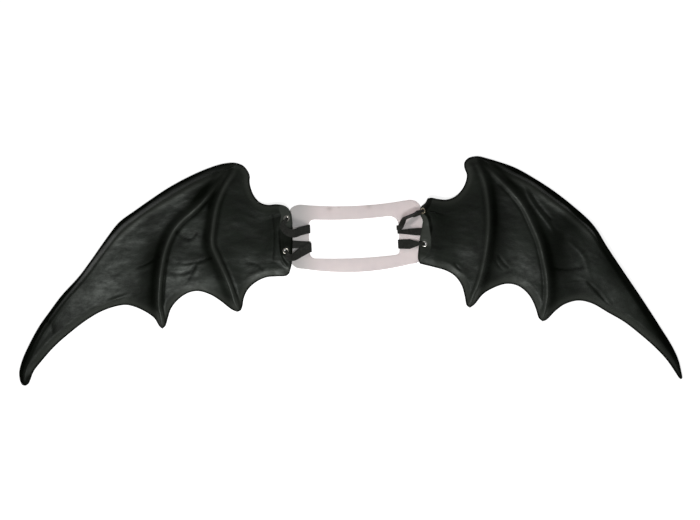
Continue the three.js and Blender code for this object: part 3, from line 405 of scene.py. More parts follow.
def nearest(line, points):
    """From many points to a traced line: distance, share along it, and whether on its outer side."""
    spans = np.diff(line, axis=0)
    length2 = np.maximum((spans**2).sum(1), 1e-12)
    corner = ((line**2).sum(1)[None] - 2 * points @ line.T).argmin(1)
    best = None
    for span in (np.maximum(corner - 1, 0), np.minimum(corner, len(spans) - 1)):
        off = points - line[span]
        t = np.clip((off * spans[span]).sum(1) / length2[span], 0, 1)
        off = off - t[:, None] * spans[span]
        far = np.hypot(off[:, 0], off[:, 1])
        outer = spans[span, 0] * off[:, 1] - spans[span, 1] * off[:, 0] < 0
        found = (far, (span + t) / len(spans), outer)
        if best is not None:
            found = [np.where(far < best[0], new, old) for new, old in zip(found, best)]
        best = found
    return best


def to_nearest(lines, names, points):
    """How far each point is from the nearest of the named lines."""
    return np.min([nearest(lines[name], points)[0] for name in names], axis=0)


# Wing sheet

def wing_lines(wing):
    """Every traced line of a wing, in its own millimetres: x out from the root, y down."""
    size = np.array([wing["reach"], wing["drop"]])

    def between(start, rows, end):
        ends = [[wing[name]] if name else [] for name in (start, end)]
        return trace(np.array(ends[0] + wing[rows] + ends[1], float) * size)

    return {
        "root_edge": between("root_top", "root_edge", "root_foot"),
        "notch": between("root_top", "notch", "thumb_inner"),
        "thumb": between("thumb_inner", "thumb", "thumb_outer"),
        "leading": between("thumb_outer", "leading", "tip_top"),
        "tip": between("tip_top", "tip", "tip_foot"),
        "outer_scallop": between("outer_claw", "outer_scallop", "tip_foot"),
        "middle_scallop": between("inner_claw", "middle_scallop", "outer_claw"),
        "inner_scallop": between("root_foot", "inner_scallop", "inner_claw"),
        "inner_finger": between("thumb_inner", "inner_finger", "inner_claw"),
        "outer_finger": between("thumb_outer", "outer_finger", "outer_claw"),
        "arm": between(None, "arm", None),
    }


SCALLOPS = ["outer_scallop", "middle_scallop", "inner_scallop"]
RIMS = ["notch", "thumb", "leading", "tip"] + SCALLOPS
ALL_EDGES = RIMS + ["root_edge"]
FINGERS = ["inner_finger", "outer_finger"]
RIBS = [("arm", ARM, ARM_TAPER, ARM_CREST), ("inner_finger", FINGER, FINGER_TAPER, FINGER_TAPER),
        ("outer_finger", FINGER, FINGER_TAPER, FINGER_TAPER)]


def rib_height(rib, taper, sharpness, line, points):
    """A rib falls away gently on the side of the root and steeply on the outer side."""
    distance, along, outer = nearest(line, points)
    reach = np.where(outer, rib["outer"], rib["inner"])
    shoulder = rib["height"] * read_table(taper, along) * np.exp(-((distance / reach) ** RIB_SHARPNESS))
    return shoulder + rib["crest"] * read_table(sharpness, along) * bell(distance, rib["crest_half"])


def underside(wing, lines, points):
    """The height of the sheet's underside at places on the wing."""
    to_rim = to_nearest(lines, RIMS, points)
    root, along, _ = nearest(lines["root_edge"], points)
    ribs = [rib_height(rib, taper, sharpness, lines[name], points) for name, rib, taper, sharpness in RIBS]
    body = MEMBRANE + np.cbrt(np.sum(np.power(ribs, 3), axis=0))
    slope = np.full(len(points), FLANGE["slope"], float)
    if wing["ear_down"] is not None:
        from_ear = np.abs(points[:, 1] - wing["ear_down"] * wing["drop"])
        slope = mix(EAR["slope"], FLANGE["slope"], smooth(from_ear / EAR["half"]))
    width = FLANGE["width"] * read_table(wing["flange"], along)
    relief = mix(slope * np.minimum(root, width), body, smooth((root - width) / FLANGE["fade"]))
    foot = to_nearest(lines, SCALLOPS, points)
    belly = smooth(foot / BELLY["reach"]) * (1 - smooth((foot - BELLY["reach"]) / BELLY["fade"]))
    relief = relief + BELLY["height"] * belly * smooth((root - BELLY["from_root"]) / ROOT_FADE)
    return ROOT_LIFT * (1 - smooth(root / ROOT_FADE)) + relief * rounded(to_rim / RIM_REACH)


def crease_trace(wing, line):
    return trace(np.array(line) * [wing["reach"], wing["drop"]], CREASE_TRACE)


def creases(side, lines, points):
    """Creases, the valley beside each finger, and the slow swells of a hand-pulled moulding."""
    wing = WINGS[side]
    height = np.zeros(len(points))
    for depth, half, line in CREASES[side]:
        distance, along, _ = nearest(crease_trace(wing, line), points)
        ease = np.sin(np.pi * np.clip(0.06 + 0.88 * along, 0, 1)) ** 0.7
        lips = CREASE_LIPS["share"] * bell(distance - CREASE_LIPS["off"] * half, CREASE_LIPS["half"] * half)
        height -= depth * ease * (bell(distance, half) - lips)
    for name in FINGERS:
        distance, along, outer = nearest(lines[name], points)
        beside = bell(distance - GROOVE["off"], GROOVE["half"]) * ~outer
        ends = smooth(along / 0.4) * smooth((1 - along) / 0.1)
        height -= wing["groove"] * GROOVE["depth"] * beside * ends
    height += RUMPLES["height"] * rumples(wing, points)
    to_rim = to_nearest(lines, ALL_EDGES, points)
    calm = smooth(to_rim / SWELLS["fade"])
    swelled = height + SWELLS["height"] * swells(wing, points)
    return swelled * calm + height * (1 - calm) * smooth(to_rim / RUMPLES["fade"])


def swells(wing, points):
    """Slow waves, with finer ones over them, that differ from wing to wing."""
    x, y = points.T / SWELLS["reach"]
    slow = np.sin(1.9 * x + 0.7 * np.sin(1.3 * y)) * np.sin(2.3 * y + 0.8 * np.sin(1.1 * x + wing["side"]))
    fine = np.sin(4.7 * x + 1.9 * y) * np.sin(3.9 * y - 2.2 * x)
    return slow + SWELLS["fine"] * fine


def rumples(wing, points):
    """Small uneven rumples, longer along the wing than down it."""
    level = RUMPLES["rows_apart"] * wing["side"]
    places = [Vector((x / RUMPLES["stretch"], y, level)) / RUMPLES["reach"] for x, y in points]
    return np.array([noise.fractal(place, 0.9, 2.2, 3) for place in places])


def wing_place(wing, points):
    """Turns places on a wing, in its own millimetres, into the part's X and Y."""
    root_middle = (wing["root_top"][1] + wing["root_foot"][1]) / 2
    x = wing["side"] * (PLATE["length"] / 2 - wing["lap"] + points[..., 0])
    return np.stack([x, wing["seat"] + root_middle * wing["drop"] - points[..., 1]], axis=-1)


def wing_local(wing, places):
    """The other way: from the part's X and Y to places on the wing."""
    origin = wing_place(wing, np.zeros(2))
    x = wing["side"] * (places[..., 0] - origin[0])
    return np.stack([x, origin[1] - places[..., 1]], axis=-1)


def divide(shares, split):
    """Each space between the shares divided into even parts."""
    index = np.arange((len(shares) - 1) * split + 1) / split
    return np.interp(index, np.arange(len(shares)), shares)


def panel_column(top, foot, inner, outer, fade, s, rows):
    """A column of a four-sided panel, whose sides' own bends fade from them as a power of the share."""
    def bend(side, end):
        a, b = at_share(top, [end])[0], at_share(foot, [end])[0]
        return at_share(side, rows) - mix(a, b, rows[:, None])

    column = mix(at_share(top, [s])[0], at_share(foot, [s])[0], rows[:, None])
    return column + bend(inner, 0) * (1 - s) ** fade + bend(outer, 1) * s**fade


def finger_column(top, foot, inner, outer, s, rows):
    """A column of the panel between the fingers, which keeps its share between them."""
    if s in (0, 1):
        return at_share(outer if s else inner, rows)
    tries = np.linspace(0, 1, 4 * TRACE_STEPS + 1)
    between = mix(at_share(inner, tries), at_share(outer, tries), s)
    ends = []
    for line in (top, foot):
        distance, along, _ = nearest(line, between)
        best = distance.argmin()
        ends.append((tries[best], at_share(line, [along[best]])[0]))
    t = mix(ends[0][0], ends[1][0], rows)
    column = mix(at_share(inner, t), at_share(outer, t), s)
    column[0], column[-1] = ends[0][1], ends[1][1]
    return column


def wing_grid(lines):
    """Places over the whole wing: columns from root to tip, each with its rows."""
    rows = divide(ROW_SHARES, ROW_SPLIT)
    even = np.linspace(0, 1, len(rows))
    columns = []
    for s in divide(ROOT_SHARES, COLUMN_SPLIT["root"])[:-1]:
        sides = (lines["notch"], lines["inner_scallop"], lines["root_edge"], lines["inner_finger"])
        columns.append(panel_column(*sides, 1, s, rows))
    for s in divide(MIDDLE_SHARES, COLUMN_SPLIT["middle"])[:-1]:
        sides = (lines["thumb"], lines["middle_scallop"], lines["inner_finger"], lines["outer_finger"])
        columns.append(finger_column(*sides, s, rows))
    for s in divide(OUTER_SHARES, COLUMN_SPLIT["outer"]):
        sides = (lines["leading"], lines["outer_scallop"], lines["outer_finger"], lines["tip"])
        ease = smooth((s - TIP_EASE_FROM) / (1 - TIP_EASE_FROM))
        columns.append(panel_column(*sides, 3, s, mix(rows, even, ease)))
    return np.array(columns)


def seats_of(wing, lines):
    """The middle of the wall where each eyelet sits, and the direction of its axis."""
    seats = {}
    for name, (down, inset) in wing["eyelets"].items():
        y = down * wing["drop"]
        local = np.array([root_edge_at(lines, y) + inset * EYELET["rim"], y])
        z = underside(wing, lines, local[None])[0] + WALL / 2
        axis = sheet_normal(wing, lines, local, EYELET["rim"] / 2)
        seats[name] = {"centre": np.r_[wing_place(wing, local), z], "axis": axis}
    return seats


def root_edge_at(lines, y):
    """How far out the root's edge is at a place down the wing."""
    edge = lines["root_edge"]
    return edge[np.abs(edge[:, 1] - y).argmin(), 0]


def sheet_normal(wing, lines, local, reach=1):
    """The direction that the sheet faces at a place, taken over a reach either side."""
    steps = local + reach * np.array([[1, 0], [-1, 0], [0, 1], [0, -1]])
    heights = underside(wing, lines, steps)
    fall_x, fall_y = (heights[0] - heights[1]) / (2 * reach), (heights[2] - heights[3]) / (2 * reach)
    return unit(np.array([-wing["side"] * fall_x, fall_y, 1]))


def grip_half(axis):
    """Half the thickness of wall that an eyelet's lips hold between them."""
    return WALL * axis[2] / 2 - EYELET["lip"]


# Meshes

def mesh_object(name, vertices, faces, smooth_shade=True):
    """A new object whose place is in its mesh. Vertices are in the part's millimetres."""
    mesh = bpy.data.meshes.new(name)
    mesh.from_pydata((np.asarray(vertices, float) * MM).tolist(), [], [list(map(int, f)) for f in faces])
    mesh.update()
    mesh.shade_smooth() if smooth_shade else mesh.shade_flat()
    piece = bpy.data.objects.new(name, mesh)
    bpy.context.scene.collection.objects.link(piece)
    return piece


def grid_faces(rows, columns, start=0, wrap_rows=False, wrap_columns=False):
    """Faces of a grid of vertices held row after row."""
    i = np.arange(rows if wrap_rows else rows - 1)
    j = np.arange(columns if wrap_columns else columns - 1)
    i, j = np.meshgrid(i, j, indexing="ij")
    k, m = (i + 1) % rows, (j + 1) % columns
    faces = np.stack([i * columns + j, k * columns + j, k * columns + m, i * columns + m], axis=-1)
    return start + faces.reshape(-1, 4)


def add_attribute(piece, name, values):
    """A value at every vertex, which a material or a node tree reads by its name."""
    attribute = piece.data.attributes.new(name, "FLOAT", "POINT")
    attribute.data.foreach_set("value", np.asarray(values, np.float32))


def apply_modifiers(piece):
    """Turns the piece with its modifiers into a plain mesh."""
    graph = bpy.context.evaluated_depsgraph_get()
    finished = piece.evaluated_get(graph)
    mesh = bpy.data.meshes.new_from_object(finished, preserve_all_data_layers=True, depsgraph=graph)
    old = piece.data
    piece.modifiers.clear()
    piece.data = mesh
    mesh.name = piece.name
    bpy.data.meshes.remove(old)


def outward(piece):
    """Merges doubles and turns every face outwards."""
    work = bmesh.new()
    work.from_mesh(piece.data)
    bmesh.ops.remove_doubles(work, verts=work.verts, dist=1e-6)
    bmesh.ops.recalc_face_normals(work, faces=work.faces)
    work.to_mesh(piece.data)
    work.free()


def place_origin():
    """From the plate's middle to the frame's origin, read from the frame's own plate."""
    low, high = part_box("back_plate")
    middle = np.array([(low.x + high.x) / 2, (low.y + high.y) / 2]) / MM
    outline = turn_plate(plate_outlines()[0])
    return np.r_[middle - (outline.min(0) + outline.max(0)) / 2, 0]


# Back plate

def plate_rise(x):
    """How far the plate's arch lifts it off the surface."""
    return PLATE["arch"] * (1 - (2 * x / PLATE["length"]) ** 2)


def turn_plate(points):
    """From the plate's own untilted place to the part's."""
    angle = math.radians(PLATE["tilt"])
    turned = np.array(points, float)
    turned[..., 0] = points[..., 0] * math.cos(angle) - points[..., 1] * math.sin(angle)
    turned[..., 1] = points[..., 0] * math.sin(angle) + points[..., 1] * math.cos(angle)
    return turned


def plate_place(x, y, z=0.0):
    return turn_plate(np.array([x, y, z], float))


def rounded_outline(length, height, top_bow, foot_bow, corners, x=0.0, y=0.0):
    """A rounded rectangle whose top and foot bow downwards in the middle, anticlockwise."""
    left, right, top, foot = x - length / 2, x + length / 2, y + height / 2, y - height / 2
    ul, ur, lr, ll = (corners[k] for k in ("upper_left", "upper_right", "lower_right", "lower_left"))
    bends = [
        [(left, top - ul), (left, y), (left, foot + ll)],
        [(left, foot + ll), (left, foot), (left + ll, foot)],
        [(left + ll, foot), (x, foot - 2 * foot_bow), (right - lr, foot)],
        [(right - lr, foot), (right, foot), (right, foot + lr)],
        [(right, foot + lr), (right, y), (right, top - ur)],
        [(right, top - ur), (right, top), (right - ur, top)],
        [(right - ur, top), (x, top - 2 * top_bow), (left + ul, top)],
        [(left + ul, top), (left, top), (left, top - ul)],
    ]
    outline = []
    for number, (a, b, c) in enumerate(bends):
        steps = PLATE_CORNER_STEPS if number % 2 else PLATE_SIDE_STEPS
        t = np.linspace(0, 1, steps + 1)[:-1, None]
        outline.append((1 - t) ** 2 * np.array(a) + 2 * t * (1 - t) * np.array(b) + t * t * np.array(c))
    return np.vstack(outline)


def plate_outlines():
    """The plate's outer edge and the edge of its opening, in its own untilted place."""
    even = dict.fromkeys(OPENING_CORNERS, PLATE["corner"])
    outer = rounded_outline(
        PLATE["length"], PLATE["height"] - PLATE_FOOT_BOW, PLATE_TOP_BOW, PLATE_FOOT_BOW, even,
        y=(PLATE_FOOT_BOW + PLATE_TOP_BOW) / 2)
    inner = rounded_outline(
        OPENING["length"], OPENING["height"], OPENING["bow"], OPENING["bow"], OPENING_CORNERS,
        x=OPENING["shift_x"], y=OPENING["shift_y"])
    return outer, inner


def build_plate(origin):
    """One closed sheet, with its cut edges eased and two small dents by its top edge."""
    outer, inner = plate_outlines()
    span = inner - outer
    reach = np.linalg.norm(span, axis=1)[:, None]
    flat = PLATE["thick"] / 2 - PLATE_EDGE_ROUND
    angles = np.linspace(-math.pi / 2, math.pi / 2, PLATE_EDGE_STEPS + 1)
    ease = PLATE_EDGE_ROUND * (1 - np.cos(angles))
    lifts = np.sign(np.round(angles, 6)) * flat + PLATE_EDGE_ROUND * np.sin(angles)
    across = np.linspace(0, 1, PLATE_RING_STEPS + 1)[1:-1]
    inside = [(v, PLATE_EDGE_ROUND * (1 - 2 * v), PLATE["thick"] / 2) for v in across]
    section = [(0, a, z) for a, z in zip(ease, lifts)] + inside
    section += [(1, -a, z) for a, z in zip(ease[::-1], lifts[::-1])]
    section += [(v, a, -z) for v, a, z in inside[::-1]]
    rings = []
    for share, aside, lift in section:
        place = outer + span * (share + aside / reach)
        z = PLATE_BOTTOM + PLATE["thick"] / 2 + plate_rise(place[:, 0]) + lift
        for x, y, radius, depth in DENTS:
            z = z - depth * bell(np.hypot(place[:, 0] - x, place[:, 1] - y), radius)
        rings.append(np.column_stack([turn_plate(place), z]))
    rings = np.array(rings)
    faces = grid_faces(len(section), len(outer), wrap_rows=True, wrap_columns=True)
    piece = mesh_object("plate_sheet", rings.reshape(-1, 3) + origin, faces)
    places = rings.reshape(-1, 3)[:, :2]
    # Darker over each dent
    dent_darkening = np.zeros(len(places))
    for x, y, radius, _ in DENTS:
        dent_darkening += bell(np.linalg.norm(places - plate_place(x, y)[:2], axis=1), radius)
    add_attribute(piece, "dent_darkening", np.clip(dent_darkening, 0, 1))
    add_attribute(piece, "ends", smooth((-places[:, 0] - PLATE_SHADE["from"]) / PLATE_SHADE["fade"]))
    return piece


# Wings and eyelets

def build_wing(side, lines, seats, origin):
    """A closed sheet whose rim is eased, dished under each eyelet, with its pressed relief on top."""
    wing = WINGS[side]
    grid = wing_grid(lines)
    columns, rows = grid.shape[:2]
    local = grid.reshape(-1, 2)
    place = wing_place(wing, local)
    base = underside(wing, lines, local)
    ease = np.clip(to_nearest(lines, ALL_EDGES, local), 0, EDGE_ROUND)
    drop = EDGE_ROUND - np.sqrt(EDGE_ROUND**2 - (EDGE_ROUND - ease) ** 2)
    top = base + WALL + creases(side, lines, local) - drop
    foot = base + drop
    for seat in seats.values():
        off = place - seat["centre"][:2]
        far = np.hypot(*off.T)
        weight = 1 - smooth((far - EYELET["rim"] / 2 - LIP_BED) / LIP_BED / 4)
        tilt = off @ seat["axis"][:2]
        level, grip = seat["centre"][2], grip_half(seat["axis"])
        top = mix(top, level + (grip - tilt) / seat["axis"][2], weight)
        foot = mix(foot, level - (grip + tilt) / seat["axis"][2], weight)
    upper = np.column_stack([place, top])
    lower = np.column_stack([place, foot])
    total = columns * rows
    faces = [grid_faces(columns, rows), grid_faces(columns, rows, total)[:, ::-1]]
    c, r = np.arange(columns - 1), np.arange(rows - 1)
    for edge, far in ((c * rows, False), (c * rows + rows - 1, True)):
        wall = np.stack([edge, edge + rows, edge + rows + total, edge + total], axis=-1)
        faces.append(wall[:, ::-1] if far else wall)
    for edge, far in ((r, True), (r + (columns - 1) * rows, False)):
        wall = np.stack([edge, edge + 1, edge + 1 + total, edge + total], axis=-1)
        faces.append(wall[:, ::-1] if far else wall)
    piece = mesh_object(f"{side}_wing_sheet", np.vstack([upper, lower]) + origin, np.vstack(faces))
    for name, values in wing_looks(side, lines, local).items():
        add_attribute(piece, name, np.r_[values, values])
    outward(piece)
    punch(piece, seats, origin)
    return piece


def wing_looks(side, lines, local):
    """Painted highlight and wear, painted light and shade patches, painted shade, and painted light on the
    root flap.
    """
    wing = WINGS[side]
    crest = np.zeros(len(local))
    steep = np.zeros(len(local))
    for name, rib, taper, sharpness in RIBS:
        distance, along, outer = nearest(lines[name], local)
        # A painted highlight, with some wear, along the inner side of each crest
        crest_highlight = bell(distance - rib["crest_half"] / 3 * ~outer, rib["crest_half"] * 0.8)
        crest = np.maximum(crest, crest_highlight * read_table(sharpness, along))
        shade = bell(distance - rib["outer"] * 0.9, rib["outer"] * 0.55) * outer * read_table(taper, along)
        steep = np.maximum(steep, shade)
    for name in FINGERS:
        distance, along, outer = nearest(lines[name], local)
        groove = bell(distance - GROOVE["off"], GROOVE["half"]) * ~outer * smooth(along / 0.3)
        steep = np.maximum(steep, wing["groove"] * groove)
    foot = to_nearest(lines, SCALLOPS + ["notch"], local)
    rim = to_nearest(lines, ALL_EDGES, local)
    leading = to_nearest(lines, ["leading", "tip", "thumb"], local)
    along_leading = nearest(lines["leading"], local)[1]
    shaded = bell(leading, wing["shade_half"]) * read_table(wing["shade"], along_leading)
    root, along, _ = nearest(lines["root_edge"], local)
    width = FLANGE["width"] * read_table(wing["flange"], along)
    flap = 1 - smooth((root - width) / 2)
    # Painted light on part of the root flap, and painted shade where its table is below 0 and on the rest
    # of the flap
    lit_flap = 1 - smooth((root - width * read_table(wing["tab_width"], along)) / 2)
    tab = lit_flap * read_table(wing["tab"], along)
    creased = np.zeros(len(local))
    for depth, half, line in CREASES[side]:
        if depth > 0:
            distance = nearest(crease_trace(wing, line), local)[0]
            creased = np.maximum(creased, bell(distance, half))
    # Patches of painted light, and of painted shade where the share is below 0
    painted_light = np.zeros(len(local))
    for out, down, half_out, half_down, share in LIGHT_AND_SHADE_PATCHES[side]:
        off = (local - [out * wing["reach"], down * wing["drop"]]) / [half_out, half_down]
        painted_light += share * bell(np.hypot(off[:, 0], off[:, 1]), 1)
    # Painted shade: on steep outer slopes, beside the finger grooves, along creases, at the rim, in dark
    # patches, on the leading slope and on the root flap
    painted_shade = PAINTED_SHADE_WEIGHT["slope"] * steep + shaded + PAINTED_SHADE_WEIGHT["crease"] * creased
    painted_shade = painted_shade + PAINTED_SHADE_WEIGHT["edge"] * bell(rim, SCALLOP_HIGHLIGHT_AND_RIM_SHADE["edge"]) + PAINTED_SHADE_WEIGHT["patch"] * np.maximum(-painted_light, 0)
    painted_shade = painted_shade + np.maximum(-tab, 0) + PAINTED_SHADE_WEIGHT["flap"] * (flap - lit_flap)
    # Painted highlight and wear on the crests and along the scallop feet
    wear_and_highlight = crest + bell(foot - SCALLOP_HIGHLIGHT_AND_RIM_SHADE["in"], SCALLOP_HIGHLIGHT_AND_RIM_SHADE["foot"])
    looks = {"wear_and_highlight": wear_and_highlight, "painted_shade": painted_shade, "painted_light": painted_light, "tab": tab}
    return {name: np.clip(values, 0, 1) for name, values in looks.items()}


def punch(piece, seats, origin):
    """The hole that each eyelet's barrel goes through."""
    radius = EYELET["hole"] / 2 + EYELET["barrel"] + GAP
    for seat in seats.values():
        profile = [(radius, -2 * WALL), (radius, 2 * WALL)]
        cutter = lathe("cutter", seat, profile, HOLE_SIDES, origin, closed=False)
        cut = piece.modifiers.new("hole", "BOOLEAN")
        cut.object = cutter
        cut.operation = "DIFFERENCE"
        cut.solver = "EXACT"
        apply_modifiers(piece)
        mesh = cutter.data
        bpy.data.objects.remove(cutter)
        bpy.data.meshes.remove(mesh)


def lathe(name, seat, profile, segments, origin, closed=True):
    """A solid of revolution about a seat's axis from rows of radius and height."""
    axis = seat["axis"]
    side = unit(np.cross(axis, [0, 1, 0]))
    other = np.cross(axis, side)
    angles = np.arange(segments) / segments * 2 * math.pi
    around = np.cos(angles)[:, None] * side + np.sin(angles)[:, None] * other
    rings = [seat["centre"] + radius * around + height * axis for radius, height in profile]
    faces = grid_faces(len(profile), segments, wrap_rows=closed, wrap_columns=True).tolist()
    if not closed:
        last = (len(profile) - 1) * segments
        faces += [list(range(segments)), list(range(last, last + segments))]
    piece = mesh_object(name, np.vstack(rings) + origin, faces)
    outward(piece)
    return piece


def arc(centre, radii, start, end, steps):
    """Rows along part of an ellipse, by angle in degrees."""
    angles = np.radians(np.linspace(start, end, steps + 1))
    return [(centre[0] + radii[0] * math.cos(a), centre[1] + radii[1] * math.sin(a)) for a in angles]


def build_eyelet(name, seat, origin, tarnish):
    """A drawn ring: a domed face rolled over the sheet on top, a flatter clinched one below."""
    bore, barrel, rim = EYELET["hole"] / 2, EYELET["hole"] / 2 + EYELET["barrel"], EYELET["rim"] / 2
    grip = grip_half(seat["axis"]) + LIP_SEAT
    crown = (bore + rim) / 2 - EYELET_CROWN_INSET
    roll = EYELET_ROLL
    top = arc((crown, grip + roll), (crown - bore, EYELET_DOME), 180, 90, 8)
    top += arc((crown, grip + roll), (rim - crown - roll / 2, EYELET_DOME), 84, 12, 8)
    top += arc((rim - roll, grip + roll), (roll, roll), 0, -90, 4)
    lower = [(radius, -height) for radius, height in top[::-1]]
    profile = top + [(barrel, grip), (barrel, -grip)] + lower
    piece = lathe(name, seat, profile, EYELET_SIDES, origin)
    add_attribute(piece, "tarnish", np.full(len(piece.data.vertices), float(tarnish)))
    return piece


# Ribbons

def above_bar(x, layer):
    """The height of a strand's middle on top of the plate, over so many layers of ribbon."""
    top = PLATE_BOTTOM + plate_rise(x) + PLATE["thick"]
    return top + RIBBON["bed"] + RIBBON["thick"] / 2 + layer * LAYER


def below_bar(x, layer):
    """The height of a strand's middle below the plate."""
    return PLATE_BOTTOM + plate_rise(x) - RIBBON["bed"] - RIBBON["thick"] / 2 - layer * LAYER


def corner_reach(side, y, half_width):
    """How far a rounded corner of the opening reaches in past its straight end."""
    level = "upper" if y > 0 else "lower"
    radius = OPENING_CORNERS[f"{level}_{'left' if side < 0 else 'right'}"]
    past = min(radius, max(0, abs(y) + half_width - (OPENING["height"] / 2 - radius)))
    return radius - math.sqrt(radius**2 - past**2)


def station(place, z, across, width, thick=RIBBON["thick"]):
    """A section of the ribbon: its middle, the way that it lies across, its width and thickness."""
    middle = np.array([place[0], place[1], z])
    return {"place": middle, "across": np.array(across), "width": width, "thick": thick}


def half_turn(edge, out, from_z, to_z, across, width):
    """Round an edge of the plate, from one side of it to the other."""
    middle, radius = (from_z + to_z) / 2, (from_z - to_z) / 2
    turn = []
    for i in range(BEND_STEPS + 1):
        angle = math.pi * (0.5 - i / BEND_STEPS)
        place = edge + out * abs(radius) * math.cos(angle)
        turn.append(station(place, middle + radius * math.sin(angle), across, width))
    return turn


def ribbon_stations(row, side, lines, seat):
    """A ribbon's way from below the plate up through its eyelet, over to the bar, round it and back."""
    wing = WINGS[side]
    full = RIBBON["width"]
    crown = grip_half(seat["axis"]) + GAP + EYELET["lip"]
    bar_x = OPENING["shift_x"] + wing["side"] * OPENING["length"] / 2
    inward, across = plate_place(-wing["side"], 0), plate_place(0, 1)
    second, layer = row["second"], 1 if row["second"] else 0

    def bar_edge(share, width):
        """Where a strand of this width rounds the bar, clear of the opening's corner."""
        y = share * OPENING["height"] / 2
        reach = corner_reach(wing["side"], y, width * full / 2)
        return plate_place(bar_x - wing["side"] * reach, OPENING["shift_y"] + y)

    def on_sheet(local):
        return underside(wing, lines, local[None])[0] + WALL + FLANGE["clear"] + RIBBON["thick"] / 2

    hole = seat["centre"] * [1, 1, 0]
    first = bar_edge(row["bar"], row["bar_width"])
    way = first - hole
    aside = unit(np.array([-way[1], way[0], 0]))

    # The strand on top, from the eyelet to the bar
    strand = []
    for on, along, off, width, roll in row["lead"]:
        place = hole + way * along + aside * off * full
        if on == "edge":
            edge = root_edge_at(lines, wing_local(wing, place[:2])[1]) - EDGE_PAST
            place = place + way * (wing_place(wing, np.array([edge, 0]))[0] - place[0]) / way[0]
        strand.append((on, place, width * full, math.radians(roll)))
    heading = unit(strand[0][1] - hole)
    bunch_across = unit(np.cross(seat["axis"], heading))
    places = [hole] + [item[1] for item in strand] + [first]
    on_top = []
    for i, (on, place, width, roll) in enumerate(strand):
        last, after = places[i], places[i + 2]
        flat = unit(np.array([last[1] - after[1], after[0] - last[0], 0]))
        local = wing_local(wing, place[:2])
        slope = np.array([0, 0, 1.0]) if on == "plate" else sheet_normal(wing, lines, local)
        flat = unit(flat - slope * flat.dot(slope))
        flat = flat * math.cos(roll) - slope * wing["side"] * math.sin(roll)
        sides = [wing_local(wing, (place + flat * offset)[:2]) for offset in (-width / 2, width / 2)]
        over = [on_sheet(p) for p in sides if p[0] > root_edge_at(lines, p[1]) - FLANGE["clear"]]
        bed = max([above_bar(place[0], layer) + GAP] + over) if on == "plate" else on_sheet(local)
        on_top.append(station(place, bed + width / 2 * math.sin(roll), flat, width))

    # Through the eyelet from below
    outside = max(PLATE["length"] / 2 + EYELET["hole"] * RISE_CLEAR, abs(hole[0]) + GAP)
    beside = below_bar(PLATE["length"] / 2, 0)
    up_to = [
        station((wing["side"] * (outside + out * full), hole[1]), beside + up * full, across, width * full,
                thick * RIBBON["thick"])
        for out, up, width, thick in RISE
    ]
    for lips, past, ahead, width, thick in THROUGH:
        place = seat["centre"] + seat["axis"] * (lips * crown + past * full) + heading * ahead * full
        up_to.append(station(place, place[2], bunch_across, width * full, thick * RIBBON["thick"]))

    # Round the bar, and back below it to the eyelet
    def turn(share, width, tier):
        edge = bar_edge(share, width)
        return half_turn(edge, inward, above_bar(bar_x, tier), below_bar(bar_x, tier), across, width * full)

    def below(start, end, share, tier, width):
        place = mix(start, end, share)
        return station(place, below_bar(place[0], tier), across, width * full)

    over_bar = up_to + on_top + turn(row["bar"], row["bar_width"], layer)
    if not second:
        return over_bar + [
            below(first, hole, BACK["near"], 0, row["bar_width"]),
            below(first, hole, BACK["far"], 0, BACK["width"]),
        ]

    # The second turn, round the plate's end and the bar once more
    end_y = OPENING["shift_y"] + second["end_bar"] * OPENING["height"] / 2
    end = plate_place(wing["side"] * PLATE["length"] / 2, end_y)
    inner = bar_edge(second["bar"], second["width"])
    wide = second["end_width"]

    def above(share, width):
        place = mix(end, inner, share)
        return station(place, above_bar(place[0], 0), across, width * full)

    low, high = below_bar(PLATE["length"] / 2, 1), above_bar(PLATE["length"] / 2, 0)
    return over_bar + [
        below(first, end, SECOND_BACK["near"], 1, mix(row["bar_width"], wide, SECOND_BACK["near"])),
        below(first, end, SECOND_BACK["far"], 1, wide),
    ] + half_turn(end, -inward, low, high, across, wide * full) + [
        above(SECOND_OVER["near"], wide),
        above(SECOND_OVER["far"], mix(wide, second["width"], SECOND_OVER["far"])),
    ] + turn(second["bar"], second["width"], 0) + [
        below(inner, hole, BACK["near"], 0, BACK["second_width"]),
        below(inner, hole, BACK["far"], 0, BACK["second_width"]),
    ]


